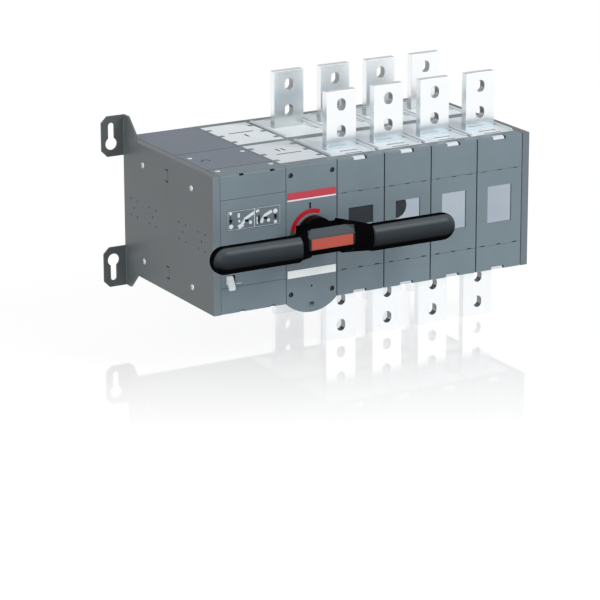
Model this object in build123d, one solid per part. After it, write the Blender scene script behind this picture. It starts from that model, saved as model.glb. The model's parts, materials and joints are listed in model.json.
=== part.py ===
from build123d import *
from math import acos, atan2, cos, hypot, pi, radians, sin, tan
import os

os.makedirs("parts", exist_ok=True)

# A four-pole changeover switch: motor box on the left, hand mechanism beside it, four poles on
# the right. Switch I sits in the rear row of chambers and switch II in the front row.
# X runs along the row of poles, Y from the front to the mounting plane, Z up. The origin is the
# middle of the mounting plane, at the height of the handle's axis. All sizes are in millimetres.

# The body
body_height = 205.0
body_depth = 281.0
pole_count = 4
pole_pitch = 80.0
mechanism_width = 84.5
motor_width = 106.5
side_flange = 12.0
cover_thickness = 4.0
wall = 3.0
edge_chamfer = 1.5
seam = 0.5
fit = 0.2

# Side plates: folded sheet with eared feet
sheet = 3.0
tab_width = 37.0
tab_height = 61.5
tab_corner = 9.5
upper_tab_rise = 33.6
lower_tab_drop = 23.6
ear_reach = 41.0
ear_crest = 17.0
upper_ear_step = 10.5
right_foot_inset = 22.0
keyhole_offset = 20.9
keyhole_radius = 9.4
keyhole_slot_radius = 4.8
keyhole_slot_run = 27.0
keyhole_drop = 42.1
lower_keyhole_rise = 41.6

# Side plate screws, punched marks and vents. An inset is measured inwards from the nearest face
side_screw_front_inset = 64.6
side_screw_rear_inset = 63.3
side_screw_top_inset = 30.4
side_screw_bottom_inset = 27.5
side_screw_head = 4.5
side_screw_head_height = 2.0
side_screw_head_chamfer = 0.8
side_screw_radius = 2.5
front_vent_insets = (35.6, 95.2)
rear_vent_insets = (92.4, 32.0)
vent_half_depth = 10.6
vent_half_height = 12.3
vent_radius = 1.6
punch_setback = 3.0
punch_width = 10.0
punch_height = 19.0
punch_line = 1.6
punch_inset = 29.5

# Rows of chambers and their light insulating lids
lid_thickness = 3.0
lid_side_inset = 2.0
front_lid_inset = 20.0
front_lid_gap = 6.5
rear_lid_inset = 13.0
rear_lid_gap = 11.5
chamber_wall = 3.5
ridge_width = 2.5
ridge_height = 2.5
ridge_inset = 3.0
ridge_margin = 4.0
slit_count = 4
slit_inset = 5.5
slit_length = 7.5
slit_width = 3.0
slit_start = 6.0
slit_pitch = 9.0
lid_groove_left = 28.0
lid_groove_length = 29.0
lid_groove_insets = (5.0, 20.0)
lid_groove_width = 3.2
lid_groove_depth = 2.0
clip_left = 28.0
clip_width = 19.0
clip_notch = 22.0
clip_drop = 5.0
clip_depth = 8.0
clip_setback = 0.4
clip_sink = 0.3
clip_chamfer = 2.4

# Terminal bars
bar_width = 50.0
bar_thickness = 12.0
bar_reach = 86.0
front_bar_depth = 56.0
rear_bar_inset = 70.0
bar_inner_height = 40.5
bar_slot_width = 14.0
bar_slot_length = 18.0
bar_slot_margin = 21.0
bar_slot_pitch = 40.0
bar_clearance = 0.3

# Turning contacts
rotor_inset = 69.0
rotor_radius = 15.0
journal_radius = 8.0
running_clearance = 0.05
free_clearance = 0.3
blade_thickness = 6.0
blade_width = 22.0
blade_length = 114.0
blade_offset = 9.0
blade_gap = 0.5
blade_rest_angle = 45.0
blade_chamfer = 1.2
finger_length = 24.0

# Arc splitter plates
splitter_angles = (20.0, 29.0, 38.0, 47.0)
splitter_inner = 62.0
splitter_outer = 84.0
splitter_thickness = 1.5

# Pole covers and windows
pole_cover_top_inset = 50.8
pole_cover_bottom_inset = 38.4
window_left = 19.6
window_width = 41.7
window_top = 27.5
window_height = 56.5
window_lip = 2.0
pane_thickness = 2.0
pane_depth = 1.5
dash_width = 7.0
dash_height = 1.3
upper_dash_height = 0.8
pole_gap = 0.9
dash_places = (12.0, 40.0, 68.0)

# Tie rods that clamp the poles to the mechanism
tie_radius = 4.0
tie_height_inset = 11.5
tie_depth_inset = 28.0
nut_radius = 7.0
nut_thickness = 5.5

# Mechanism
front_strip = 22.0
web_thickness = 3.0
shell_gap_ahead = 3.5
shell_gap_behind = 7.5
rear_strip = 13.0
bearing_gap = 6.0
bearing_length = 10.0
bearing_radius = 12.0
bearing_arm_half_height = 9.0
lobe_drop = 17.3
cover_screw_inset = 8.0
cover_screw_top_inset = 14.2
cover_screw_bottom_inset = 13.3
cover_screw_head = 3.6
cover_screw_radius = 1.8
cover_screw_head_depths = (1.9, 3.2)
cover_screw_reach = 13.0
cross_length = 4.8
cross_width = 1.0
cross_depth = 0.8
screw_post_radius = 4.5
screw_post_reach = 16.0
well_clearance = 0.3
pilot_radius = 1.5
pilot_inset = 22.3
latch_width = 8.0
latch_height = 7.0
latch_drop = 5.5
latch_depth = 1.8
gear_opening_depths = (6.0, 29.0)
gear_opening_margin = 3.0
tab_count = 3
tab_length = 8.0
tab_lead = 0.35
label_thickness = 0.5
band_inset = 39.7
band_height = 12.6
label_inset = 38.0
label_height = 11.3
label_margin = 2.2

# Handle
hub_radius = 26.5
hub_start = 3.0
hub_end = 20.0
block_half_width = 37.5
block_half_height = 19.5
block_shoulder = 48.0
block_front = 60.0
block_face_half_height = 8.5
grip_inner = 59.6
grip_outer = 199.5
grip_height = 40.0
grip_back = 53.0
grip_front = 81.0
grip_round = 11.0
arm_root = 26.0
arm_root_front = 46.0
arm_root_height = 48.0
arm_root_corner = 5.0
arm_lap = 3.5
arm_inset = 1.2
arm_corner = 9.5
hub_back_round = 3.0
hub_front_chamfer = 1.0
neck_back_radius = 26.0
neck_front_radius = 21.0
neck_length = 16.0
slide_width = 69.0
slide_height = 16.2
slide_back = 36.0
slide_clearance = 0.3
slide_round = 0.8
handle_screw_gap = 4.0
handle_screw_head = 6.0
handle_screw_head_length = 6.0
handle_screw_radius = 3.0
handle_screw_socket = 2.5
handle_screw_socket_depth = 3.5
handle_screw_room = 7.0
shackle_half_width = 22.0
shackle_low = 45.5
shackle_high = 54.5
dial_outer = 35.5
dial_inner = 27.0
dial_thickness = 0.8
dial_half_sweep = 113.0

# Handle shaft
shaft_radius = 7.0
shaft_square = 9.8
shaft_overhang = 2.0
square_end = 24.0
bush_radius = 12.0
bush_length = 8.0
bush_flange = 16.0
bush_flange_thickness = 1.5

# Gears
bevel_module = 2.5
bevel_drive_teeth = 16
bevel_driven_teeth = 32
bevel_face = 13.0
bevel_addendum = 1.6
bevel_dedendum = 2.1
bevel_half_tooth = 1.6
bevel_flank = 25.0
bevel_tooth_sink = 0.4
bevel_web = 1.0
bevel_lip = 1.5
bevel_rim = 2.0
driven_boss_radius = 14.0
driven_boss_reach = 31.0
driving_boss_radius = 12.0
driving_boss_reach = 48.0
spur_pressure = 20.0
spur_backlash = 0.25
spur_addendum = 0.8
spur_dedendum = 1.1
flank_steps = 4
output_teeth = 48
small_teeth = 16
output_module = 1.5
large_teeth = 32
pinion_teeth = 12
motor_module = 1.25
output_gear_depths = (10.0, 18.0)
motor_gear_depths = (20.0, 26.0)
gear_hole_count = 6
gear_hole_radius = 6.0
gear_hole_reach = 22.0
idler_pin_radius = 3.0
idler_pin_lead = 1.5
idler_head_radius = 4.5
idler_head_depths = (7.0, 8.8)
idler_collar_radius = 8.0
motor_shaft_radius = 2.0
motor_shaft_reach = 60.0

# Motor box
flap_height = 36.5
flap_depth = 39.5
flap_gap = 1.2
gear_plate_depths = (28.0, 31.0)
gear_plate_top_inset = 10.5
motor_hole_clearance = 1.0
motor_radius = 20.0
motor_length = 70.0
motor_round = 3.0
motor_bell_radius = 8.0
motor_bell_length = 6.0
top_groove_setback = 1.5
groove_width = 1.2
groove_depth = 0.8
front_groove_inset = 39.0
recess_left = 24.5
recess_depth = 88.0
recess_radius = 7.0
recess_inner_radius = 5.6
recess_cut = 1.8
recess_open_half_width = 8.0
recess_open_lead = 8.0
recess_open_length = 6.0
top_screw_left_inset = 10.5
top_screw_right_inset = 9.5
top_screw_depths = (27.0, 112.0)
top_screw_head = 3.8
top_screw_head_height = 1.0
top_screw_reach = 8.0
top_screw_slot = 1.0
top_screw_slot_depth = 0.6
notch_width = 7.0
notch_drop = 3.6
notch_places = (31.0, 81.0)
pictogram_left = 10.5
pictogram_width = 86.8
pictogram_inset = 16.5
pictogram_height = 29.4

# Control terminals
terminal_insets = (10.0, 12.0)
terminal_front = 10.0
terminal_top_inset = 12.5
terminal_height = 20.0
terminal_count = 10
wire_entry_half_width = 3.0
wire_entry_heights = (3.0, 9.0)
wire_entry_depth = 6.0
terminal_screw_radius = 2.6
terminal_screw_height = 15.0
terminal_screw_depth = 3.0

# Circuit board beside the tray's wall
board_gap = 6.0
board_thickness = 1.6
board_front_inset = 48.0
board_rear_inset = 31.0
board_top_inset = 40.5
board_bottom_inset = 32.5
board_screw_inset = 6.0
board_post_radius = 3.0
relay_places = (16.0, 42.0)
relay_size = (16.0, 20.0, 30.0)
relay_bottom = 10.0
capacitor_places = (92.0, 120.0)
capacitor_radius = 9.0
capacitor_length = 25.0
capacitor_height = 20.0
plug_place = 152.0
plug_size = (12.0, 12.0, 80.0)
plug_bottom = -50.0
chip_place = 72.0
chip_size = (3.0, 30.0, 20.0)
chip_bottom = -45.0

# Lock clip in the motor box's front panel
clip_slot_left = 8.5
clip_slot_width = 14.5
clip_slot_height = 13.0
clip_slot_inset = 44.0
lock_clip_width = 8.7
lock_clip_travel = 12.0
lock_stop_left = 4.0
lock_stop_right = 8.0
lock_stop_thickness = 3.0
hook_root = 4.0
hook_reach = 11.5
hook_drop = 6.8
hook_face_top = 1.0
hook_face_bottom = 5.0
hook_front_bevel = 1.5
hook_tip = 3.5
hook_underside = 3.0

# Snap springs round the shaft, one on each side of the web
spring_radius = 12.5
spring_wire = 1.4
spring_pitch = 4.2
front_spring_length = 25.0
rear_spring_gap = 4.8
spring_seat = 0.2

# Places worked out from the sizes above
half_length = (2 * side_flange + motor_width + mechanism_width + pole_count * pole_pitch) / 2
left_end = -half_length
motor_left = left_end + side_flange
mechanism_left = motor_left + motor_width
poles_left = mechanism_left + mechanism_width
poles_right = poles_left + pole_count * pole_pitch
right_end = poles_right + side_flange
front = -body_depth
top = body_height / 2
bottom = -top
half_depth = body_depth / 2
side_screw_depths = (side_screw_front_inset, body_depth - side_screw_rear_inset)
side_screw_heights = (top - side_screw_top_inset, bottom + side_screw_bottom_inset)
vent_depths = front_vent_insets + tuple(body_depth - inset for inset in rear_vent_insets)
front_lid = (front_lid_inset, half_depth - front_lid_gap)
rear_lid = (half_depth + rear_lid_gap, body_depth - rear_lid_inset)
rear_bar_depth = body_depth - rear_bar_inset
front_rotor_depth = rotor_inset
rear_rotor_depth = body_depth - rotor_inset
pole_cover_top = top - pole_cover_top_inset
pole_cover_bottom = bottom + pole_cover_bottom_inset
tie_height = top - tie_height_inset
tie_depths = (tie_depth_inset, body_depth - tie_depth_inset)
web_depth = half_depth - web_thickness / 2
bearing_depth = rear_rotor_depth - journal_radius - bearing_gap - bearing_length
shaft_end_depth = bearing_depth + bearing_length + shaft_overhang
flap_bottom = top - flap_height
board_span = (board_front_inset, body_depth - board_rear_inset)
board_heights = (bottom + board_bottom_inset, top - board_top_inset)
clip_slot_heights = (bottom + clip_slot_inset, bottom + clip_slot_inset + clip_slot_height)
lid_bottom = top - lid_thickness
chamber_top = lid_bottom - wall
handle_x = mechanism_left + mechanism_width / 2
idler_x = handle_x - output_module * (output_teeth + small_teeth) / 2
motor_x = idler_x - motor_module * (large_teeth + pinion_teeth) / 2


def behind(near, far):
    """The span of Y between two depths behind the front face."""
    return front + near, front + far


def ahead(near, far):
    """The span of Y between two distances ahead of the front face."""
    return front - far, front - near


def middle(span):
    return sum(span) / 2


def length(span):
    return span[1] - span[0]


def block(x, y, z):
    """A box that fills the span given on each axis."""
    return Pos(middle(x), middle(y), middle(z)) * Box(length(x), length(y), length(z))


def rod_x(radius, x, y, z):
    return Pos(middle(x), y, z) * Rot(0, 90, 0) * Cylinder(radius, length(x))


def rod_y(radius, x, y, z):
    return Pos(x, middle(y), z) * Rot(90, 0, 0) * Cylinder(radius, length(y))


def rod_z(radius, x, y, z):
    return Pos(x, y, middle(z)) * Cylinder(radius, length(z))


def prism_x(points, x):
    """A prism along X whose section is a list of (y, z) points."""
    section = make_face(Polyline([(x[0], y, z) for y, z in points], close=True))
    return extrude(section, amount=length(x), dir=(1, 0, 0))


def flipped(shape):
    """The same shape upside down."""
    return shape.mirror(Plane.XY)


def solids_of(pieces):
    return [solid for piece in pieces for solid in piece.solids()]


def save(name, *pieces):
    """Write one node, which is one solid or several alike."""
    solids = solids_of(pieces)
    shape = solids[0] if len(solids) == 1 else Compound(solids)
    export_step(shape, f"parts/{name}.step")


# Side plates

def keyhole(x, round_height, slot_height):
    """The cut for one keyhole: a round that a bolt's head passes and a slot that holds it."""
    y = (-2 * sheet, sheet)
    low, high = sorted((round_height, slot_height))
    slot_width = (x - keyhole_slot_radius, x + keyhole_slot_radius)
    return (
        rod_y(keyhole_radius, x, y, round_height)
        + rod_y(keyhole_slot_radius, x, y, slot_height)
        + block(slot_width, y, (low, high))
    )


def foot_tab(z):
    """An outward tab at the mounting plane with its outer corners cut off."""
    outer = left_end - tab_width
    inner = left_end + sheet
    points = [
        (inner, z[0]),
        (inner, z[1]),
        (outer + tab_corner, z[1]),
        (outer, z[1] - tab_corner),
        (outer, z[0] + tab_corner),
        (outer + tab_corner, z[0]),
    ]
    outline = make_face(Polyline([(x, 0, z) for x, z in points], close=True))
    return extrude(outline, amount=sheet, dir=(0, -1, 0))


def punched_mark(height):
    """A C-shaped punched line that opens towards the back."""
    x = (left_end - 1, left_end + sheet + 1)
    y = behind(half_depth - punch_setback, half_depth - punch_setback + punch_width)
    z = (height - punch_height / 2, height + punch_height / 2)
    return (
        block(x, (y[0], y[0] + punch_line), z)
        + block(x, y, (z[0], z[0] + punch_line))
        + block(x, y, (z[1] - punch_line, z[1]))
    )


def vents():
    """Groups of five small holes in a row along the plate."""
    x = (left_end - 1, left_end + sheet + 1)
    offsets = [(a * vent_half_depth, b * vent_half_height) for a in (-1, 1) for b in (-1, 1)]
    return [
        rod_x(vent_radius, x, front + depth + dy, dz)
        for depth in vent_depths
        for dy, dz in offsets + [(0, 0)]
    ]


def side_screw_places():
    return [(front + d, z) for d in side_screw_depths for z in side_screw_heights]


def ears(upper_tab_top, lower_tab_bottom):
    """The corners of the left plate that stand above and below the body and carry its feet."""
    upper_ear = prism_x(
        [
            (0, top - sheet),
            (0, upper_tab_top),
            (-ear_crest, upper_tab_top),
            (-ear_reach, top + upper_ear_step),
            (-ear_reach, top - sheet),
        ],
        (left_end, left_end + sheet),
    )
    lower_ear = prism_x(
        [
            (0, bottom + sheet),
            (0, lower_tab_bottom),
            (-ear_crest, lower_tab_bottom),
            (-ear_reach, bottom),
            (-ear_reach, bottom + sheet),
        ],
        (left_end, left_end + sheet),
    )
    return upper_ear + lower_ear


def side_plate(upper_tab_top, lower_tab_bottom):
    """A shallow tray open to the right, with two feet turned out at the back."""
    outer = block((left_end, motor_left - fit), (front, 0), (bottom, top))
    inside = block((left_end + sheet, motor_left), (front + sheet, sheet), (bottom + sheet, top - sheet))
    keyhole_x = left_end - keyhole_offset
    upper_round = upper_tab_top - keyhole_drop
    lower_round = lower_tab_bottom + lower_keyhole_rise
    plate = outer - inside
    if upper_tab_top > top:
        plate += ears(upper_tab_top, lower_tab_bottom)
    plate += foot_tab((upper_tab_top - tab_height, upper_tab_top))
    plate += foot_tab((lower_tab_bottom, lower_tab_bottom + tab_height))
    plate -= keyhole(keyhole_x, upper_round, upper_round + keyhole_slot_run)
    plate -= keyhole(keyhole_x, lower_round, lower_round - keyhole_slot_run)
    plate -= punched_mark(top - punch_inset)
    plate -= punched_mark(bottom + punch_inset)
    plate -= vents()
    plate -= [
        rod_x(side_screw_radius, (left_end - 1, left_end + sheet + 1), y, z)
        for y, z in side_screw_places()
    ]
    return plate


def side_screws():
    """Pan-head screws that hold the left plate."""
    reach = side_flange + wall - 1
    for y, z in side_screw_places():
        head = rod_x(side_screw_head, (left_end - side_screw_head_height, left_end), y, z)
        head = chamfer(head.edges().group_by(Axis.X)[0], side_screw_head_chamfer)
        shank = rod_x(side_screw_radius, (left_end, left_end + reach), y, z)
        yield head + shank


left_screws = list(side_screws())
save("left_side_plate", side_plate(top + upper_tab_rise, bottom - lower_tab_drop))
right_plate = side_plate(top - right_foot_inset, bottom + right_foot_inset)
save("right_side_plate", right_plate.mirror(Plane.YZ))
save("side_plate_screws", *left_screws, *[screw.mirror(Plane.YZ) for screw in left_screws])


# Motor box

motor_span = (motor_left + fit, mechanism_left - fit)


def edge_notch(place):
    """A small notch in the motor box's top or bottom front edge."""
    x = motor_left + place
    return block((x, x + notch_width), behind(-1, cover_thickness + 1), (top - notch_drop, top + 1))


def top_screw_places():
    return [
        (x, front + depth)
        for x in (motor_left + top_screw_left_inset, mechanism_left - top_screw_right_inset)
        for depth in top_screw_depths
    ]


def motor_base():
    """A moulded tray: the floor, the back and the inner side wall, with screw bosses for the board."""
    x = (motor_left, mechanism_left)
    base = block(x, behind(cover_thickness + fit, body_depth), (bottom, lid_bottom))
    base -= block((x[0] + wall, x[1] + 1), behind(0, body_depth - wall), (bottom + wall, top))
    board_back = motor_left + wall + board_gap
    base += [
        rod_x(board_post_radius, (motor_left + wall - 1, board_back), y, z)
        for y, z in board_screw_places()
    ]
    base -= [
        rod_x(side_screw_radius, (motor_left - 1, motor_left + wall - 1), y, z)
        for y, z in side_screw_places()
    ]
    return base


def board_screw_places():
    inset = board_screw_inset
    return [
        (front + depth, z)
        for depth in (board_span[0] + inset, board_span[1] - inset)
        for z in (board_heights[0] + inset, board_heights[1] - inset)
    ]


def control_board():
    """The circuit board with its relays, capacitors and plug."""
    x = motor_left + wall + board_gap
    face = x + board_thickness
    board = block((x, face), behind(*board_span), board_heights)

    def part_on_board(place, size, low):
        depth = board_span[0] + place
        return block((face, face + size[0]), behind(depth, depth + size[1]), (low, low + size[2]))

    board += [part_on_board(place, relay_size, relay_bottom) for place in relay_places]
    board += part_on_board(plug_place, plug_size, plug_bottom)
    board += part_on_board(chip_place, chip_size, chip_bottom)
    for place in capacitor_places:
        y = front + board_span[0] + place
        board += rod_x(capacitor_radius, (face, face + capacitor_length), y, capacitor_height)
    return board


def gear_plate():
    """The upright plate that carries the motor, the idler's pin and the terminal block."""
    x = (motor_left + wall, mechanism_left - fit)
    near, far = gear_plate_depths
    plate = block(x, behind(near, far), (bottom + wall, top - gear_plate_top_inset))
    pin_start = output_gear_depths[0] - idler_pin_lead
    plate += rod_y(idler_pin_radius, idler_x, behind(pin_start, near), 0)
    plate += rod_y(idler_head_radius, idler_x, behind(*idler_head_depths), 0)
    plate -= rod_y(motor_shaft_radius + motor_hole_clearance, motor_x, behind(near - 1, far + 1), 0)
    return plate


def electric_motor():
    """The can with its end bell and its hollow bearing."""
    start = gear_plate_depths[1]
    end = start + motor_length
    can = rod_y(motor_radius, motor_x, behind(start, end), 0)
    can = fillet(can.edges().group_by(Axis.Y)[-1], motor_round)
    can += rod_y(motor_bell_radius, motor_x, behind(end - 1, end + motor_bell_length), 0)
    return can - rod_y(motor_shaft_radius + running_clearance, motor_x, behind(start - 1, end), 0)


def terminal_flap():
    """The corner piece over the control terminals."""
    face = block(motor_span, behind(0, cover_thickness), (flap_bottom + fit, top))
    lid = block(motor_span, behind(0, flap_depth), (lid_bottom + fit, top))
    flap = face + lid
    flap = chamfer(flap.edges().filter_by(Axis.X).group_by(Axis.Y)[0].sort_by(Axis.Z)[-1], edge_chamfer)
    flap -= [edge_notch(place) for place in notch_places]
    flap -= [rod_z(cover_screw_radius, x, y, (0, top + 1)) for x, y in top_screw_places()]
    return flap


def motor_top_cover():
    """The lid behind the flap, with a joint line across its middle and a thumb recess."""
    lid = block(motor_span, behind(flap_depth + flap_gap, body_depth), (lid_bottom + fit, top))
    groove_start = half_depth - top_groove_setback
    groove_y = behind(groove_start, groove_start + groove_width)
    lid -= block(motor_span, groove_y, (top - groove_depth, top + 1))
    x, y = motor_left + recess_left, front + recess_depth
    open_start = recess_depth - recess_open_lead
    recess = rod_z(recess_radius, x, y, (top - recess_cut, top + 1))
    recess -= rod_z(recess_inner_radius, x, y, (0, top + 2))
    recess -= block(
        (x - recess_open_half_width, x + recess_open_half_width),
        behind(open_start, open_start + recess_open_length),
        (0, top + 2),
    )
    lid -= recess
    lid -= [rod_z(cover_screw_radius, x, y, (0, top + 1)) for x, y in top_screw_places()]
    return lid


def motor_front_cover():
    """The front panel with the slot for the lock clip and a joint line near its foot."""
    panel = block(motor_span, behind(0, cover_thickness), (bottom, flap_bottom - fit))
    panel = chamfer(panel.edges().filter_by(Axis.X).group_by(Axis.Y)[0].sort_by(Axis.Z)[0], edge_chamfer)
    groove_z = bottom + front_groove_inset
    groove = (groove_z - groove_width / 2, groove_z + groove_width / 2)
    panel -= block(motor_span, behind(-1, groove_depth), groove)
    slot_left = motor_left + clip_slot_left
    slot = (slot_left, slot_left + clip_slot_width)
    panel -= block(slot, behind(-1, cover_thickness + 1), clip_slot_heights)
    panel -= [flipped(edge_notch(place)) for place in notch_places]
    return panel


def terminal_block():
    """The screw terminals for the control wires, in front of the gear plate."""
    x = (motor_left + terminal_insets[0], mechanism_left - terminal_insets[1])
    low = top - terminal_top_inset - terminal_height
    body = block(x, behind(terminal_front, gear_plate_depths[0]), (low, low + terminal_height))
    pitch = length(x) / terminal_count
    entry_y = behind(terminal_front - 1, terminal_front + wire_entry_depth)
    screw_y = behind(terminal_front - 1, terminal_front + terminal_screw_depth)
    entry_z = (low + wire_entry_heights[0], low + wire_entry_heights[1])
    for index in range(terminal_count):
        centre = x[0] + pitch * (index + 0.5)
        entry_x = (centre - wire_entry_half_width, centre + wire_entry_half_width)
        body -= block(entry_x, entry_y, entry_z)
        body -= rod_y(terminal_screw_radius, centre, screw_y, low + terminal_screw_height)
    return body


def lock_clip():
    """The pale pull-out tab: a stem with a stop behind the panel and a hooked finger piece in front."""
    left = motor_left + clip_slot_left + fit
    x = (left, left + lock_clip_width)
    stem_top = clip_slot_heights[1] - slide_clearance
    stem_bottom = clip_slot_heights[0] + slide_clearance
    stop_depth = cover_thickness + lock_clip_travel + 1
    stem = block(x, behind(0, stop_depth), (stem_bottom, stem_top))
    stop = block(
        (x[0] - lock_stop_left, x[1] + lock_stop_right),
        behind(stop_depth, stop_depth + lock_stop_thickness),
        (stem_bottom, stem_top),
    )
    tip = front - hook_reach
    hook = prism_x(
        [
            (front, stem_top),
            (front - hook_root, stem_top),
            (tip, stem_bottom - hook_face_top),
            (tip, stem_bottom - hook_face_bottom),
            (tip + hook_front_bevel, stem_bottom - hook_drop),
            (tip + hook_tip, stem_bottom - hook_drop),
            (front - hook_underside, stem_bottom),
            (front, stem_bottom),
        ],
        x,
    )
    return stem + stop + hook


def top_screws():
    for x, y in top_screw_places():
        head = rod_z(top_screw_head, x, y, (top, top + top_screw_head_height))
        half = top_screw_slot / 2
        slot_z = (top + top_screw_head_height - top_screw_slot_depth, top + top_screw_head_height + 1)
        reach = 0.8 * top_screw_head
        head -= block((x - reach, x + reach), (y - half, y + half), slot_z)
        yield head + rod_z(cover_screw_radius, x, y, (top - top_screw_reach, top))


save("motor_base", motor_base())
save("motor_front_cover", motor_front_cover())
save("motor_top_cover", motor_top_cover())
save("terminal_flap", terminal_flap())
save("top_cover_screws", *top_screws())
save("gear_plate", gear_plate())
save("electric_motor", electric_motor())
save("control_board", control_board())
save("terminal_block", terminal_block())
save("lock_clip", lock_clip())
save(
    "pictogram_plate",
    block(
        (motor_left + pictogram_left, motor_left + pictogram_left + pictogram_width),
        ahead(0, label_thickness),
        (flap_bottom - pictogram_inset - pictogram_height, flap_bottom - pictogram_inset),
    ),
)


# Mechanism box

mechanism_span = (mechanism_left, poles_left)
inner_span = (mechanism_left + wall, poles_left - wall)
shell_spans = (
    (front_strip, half_depth - shell_gap_ahead),
    (half_depth + shell_gap_behind, body_depth - rear_strip),
)
cover_screw_places = [
    (x, z)
    for x in (mechanism_left + cover_screw_inset, poles_left - cover_screw_inset)
    for z in (top - cover_screw_top_inset, bottom + cover_screw_bottom_inset)
]


def border_tabs(span, clearance):
    """Dark tongues that reach from both side walls into the light lid of one row."""
    reach = tab_length + clearance
    left = (mechanism_left + wall - 1, mechanism_left + wall + reach)
    right = (poles_left - wall - reach, poles_left - wall + 1)
    step = length(span) / tab_count
    for index in range(tab_count):
        start = span[0] + step * (index + tab_lead)
        y = behind(start - clearance, start + tab_length + clearance)
        yield block(left, y, (lid_bottom, top))
        yield block(right, y, (lid_bottom, top))


def mechanism_frame():
    """The box that carries the shaft: walls, floor, back, a cross web and a rear bearing arm."""
    frame = block(mechanism_span, behind(cover_thickness, body_depth), (bottom, top))
    frame -= block(inner_span, behind(0, body_depth - wall - 1), (bottom + wall, lid_bottom))
    for span in shell_spans:
        frame -= block(inner_span, behind(*span), (lid_bottom - 1, top + 1))
        frame += list(border_tabs(span, 0))
    frame += block(inner_span, behind(web_depth, web_depth + web_thickness), (bottom + wall, lid_bottom))
    bearing = behind(bearing_depth, bearing_depth + bearing_length)
    arm_z = (-bearing_arm_half_height, bearing_arm_half_height)
    frame += block((mechanism_left + wall, handle_x), bearing, arm_z)
    frame += rod_y(bearing_radius, handle_x, bearing, 0)
    post_y = behind(cover_thickness, screw_post_reach)
    for x, z in cover_screw_places:
        side = mechanism_left + wall if x < handle_x else poles_left - wall
        frame += block(sorted((side, x)), post_y, (z - screw_post_radius, z + screw_post_radius))
        frame += rod_y(screw_post_radius, x, post_y, z)
        frame -= rod_y(cover_screw_radius, x, behind(0, cover_screw_reach + 1), z)
    frame -= rod_y(shaft_radius + 1.0, handle_x, behind(web_depth - 1, web_depth + web_thickness + 1), 0)
    bore_y = behind(bearing_depth - 1, shaft_end_depth)
    frame -= rod_y(shaft_radius + running_clearance, handle_x, bore_y, 0)
    right_wall = (poles_left - wall - 1, poles_left + 1)
    for depth in (front_rotor_depth, rear_rotor_depth):
        frame -= rod_x(journal_radius + running_clearance, right_wall, front + depth, 0)
    for depth in tie_depths:
        for z in (-tie_height, tie_height):
            frame -= rod_x(tie_radius + fit, right_wall, front + depth, z)
    gear_room = motor_module * large_teeth / 2 + gear_opening_margin
    left_wall = (mechanism_left - 1, mechanism_left + wall + 1)
    frame -= block(left_wall, behind(*gear_opening_depths), (-gear_room, gear_room))
    return frame


def mechanism_cover():
    """The front panel: screw wells, the shaft's hole and a round lobe that hangs below the body."""
    x = (mechanism_left + seam, poles_left - seam)
    panel = block(x, behind(0, cover_thickness), (bottom, top))
    panel = chamfer(panel.edges().filter_by(Axis.X).group_by(Axis.Y)[0], edge_chamfer)
    half = mechanism_width / 2 - seam
    lobe_radius = (half**2 + lobe_drop**2) / (2 * lobe_drop)
    lobe = rod_y(lobe_radius, handle_x, behind(0, cover_thickness), bottom - lobe_drop + lobe_radius)
    lobe &= block(x, behind(0, cover_thickness), (bottom - 2 * lobe_drop, bottom + edge_chamfer))
    panel += lobe
    panel -= rod_y(bush_radius, handle_x, behind(-1, cover_thickness + 1), 0)
    panel -= rod_y(pilot_radius, handle_x, behind(-1, cover_thickness + 1), bottom + pilot_inset)
    well_y = behind(-1, cover_screw_head_depths[1])
    for screw_x, z in cover_screw_places:
        panel -= rod_y(cover_screw_head + well_clearance, screw_x, well_y, z)
        panel -= rod_y(cover_screw_radius, screw_x, behind(-1, cover_thickness + 1), z)
    latch_x = (handle_x - latch_width / 2, handle_x + latch_width / 2)
    latch_z = (bottom - latch_drop - latch_height / 2, bottom - latch_drop + latch_height / 2)
    panel -= block(latch_x, behind(-1, latch_depth), latch_z)
    return panel


def mechanism_shell(span):
    """A light lid over one row, notched for the dark tongues."""
    x = (inner_span[0] + fit, inner_span[1] - fit)
    shell = block(x, behind(span[0] + fit, span[1] - fit), (lid_bottom, top))
    return shell - list(border_tabs(span, fit))


def cover_screws():
    near, far = cover_screw_head_depths
    long, thin = cross_length / 2, cross_width / 2
    for x, z in cover_screw_places:
        head = rod_y(cover_screw_head, x, behind(near, far), z)
        for half_x, half_z in ((long, thin), (thin, long)):
            cut_y = behind(0, near + cross_depth)
            head -= block((x - half_x, x + half_x), cut_y, (z - half_z, z + half_z))
        yield head + rod_y(cover_screw_radius, x, behind(far, cover_screw_reach), z)


def dial_ring():
    """A raised arc on the left of the hub that carries the position colours."""
    y = ahead(0, dial_thickness)
    ring = rod_y(dial_outer, handle_x, y, 0) - rod_y(dial_inner, handle_x, ahead(-1, 2), 0)
    reach = 2 * dial_outer
    open_half = radians(180 - dial_half_sweep)
    corner = (handle_x + reach * cos(open_half), reach * sin(open_half))
    wedge = make_face(
        Polyline(
            [
                (handle_x, front + 1, 0),
                (corner[0], front + 1, corner[1]),
                (handle_x + 2 * reach, front + 1, 0),
                (corner[0], front + 1, -corner[1]),
            ],
            close=True,
        )
    )
    return ring - extrude(wedge, amount=4, dir=(0, -1, 0))


def shaft_bush():
    """The flanged bearing in the front panel."""
    bush = rod_y(bush_radius, handle_x, behind(0, bush_length), 0)
    bush += rod_y(bush_flange, handle_x, ahead(0, bush_flange_thickness), 0)
    bore_y = behind(-bush_flange_thickness - 1, bush_length + 1)
    return bush - rod_y(shaft_radius + running_clearance, handle_x, bore_y, 0)


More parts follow.
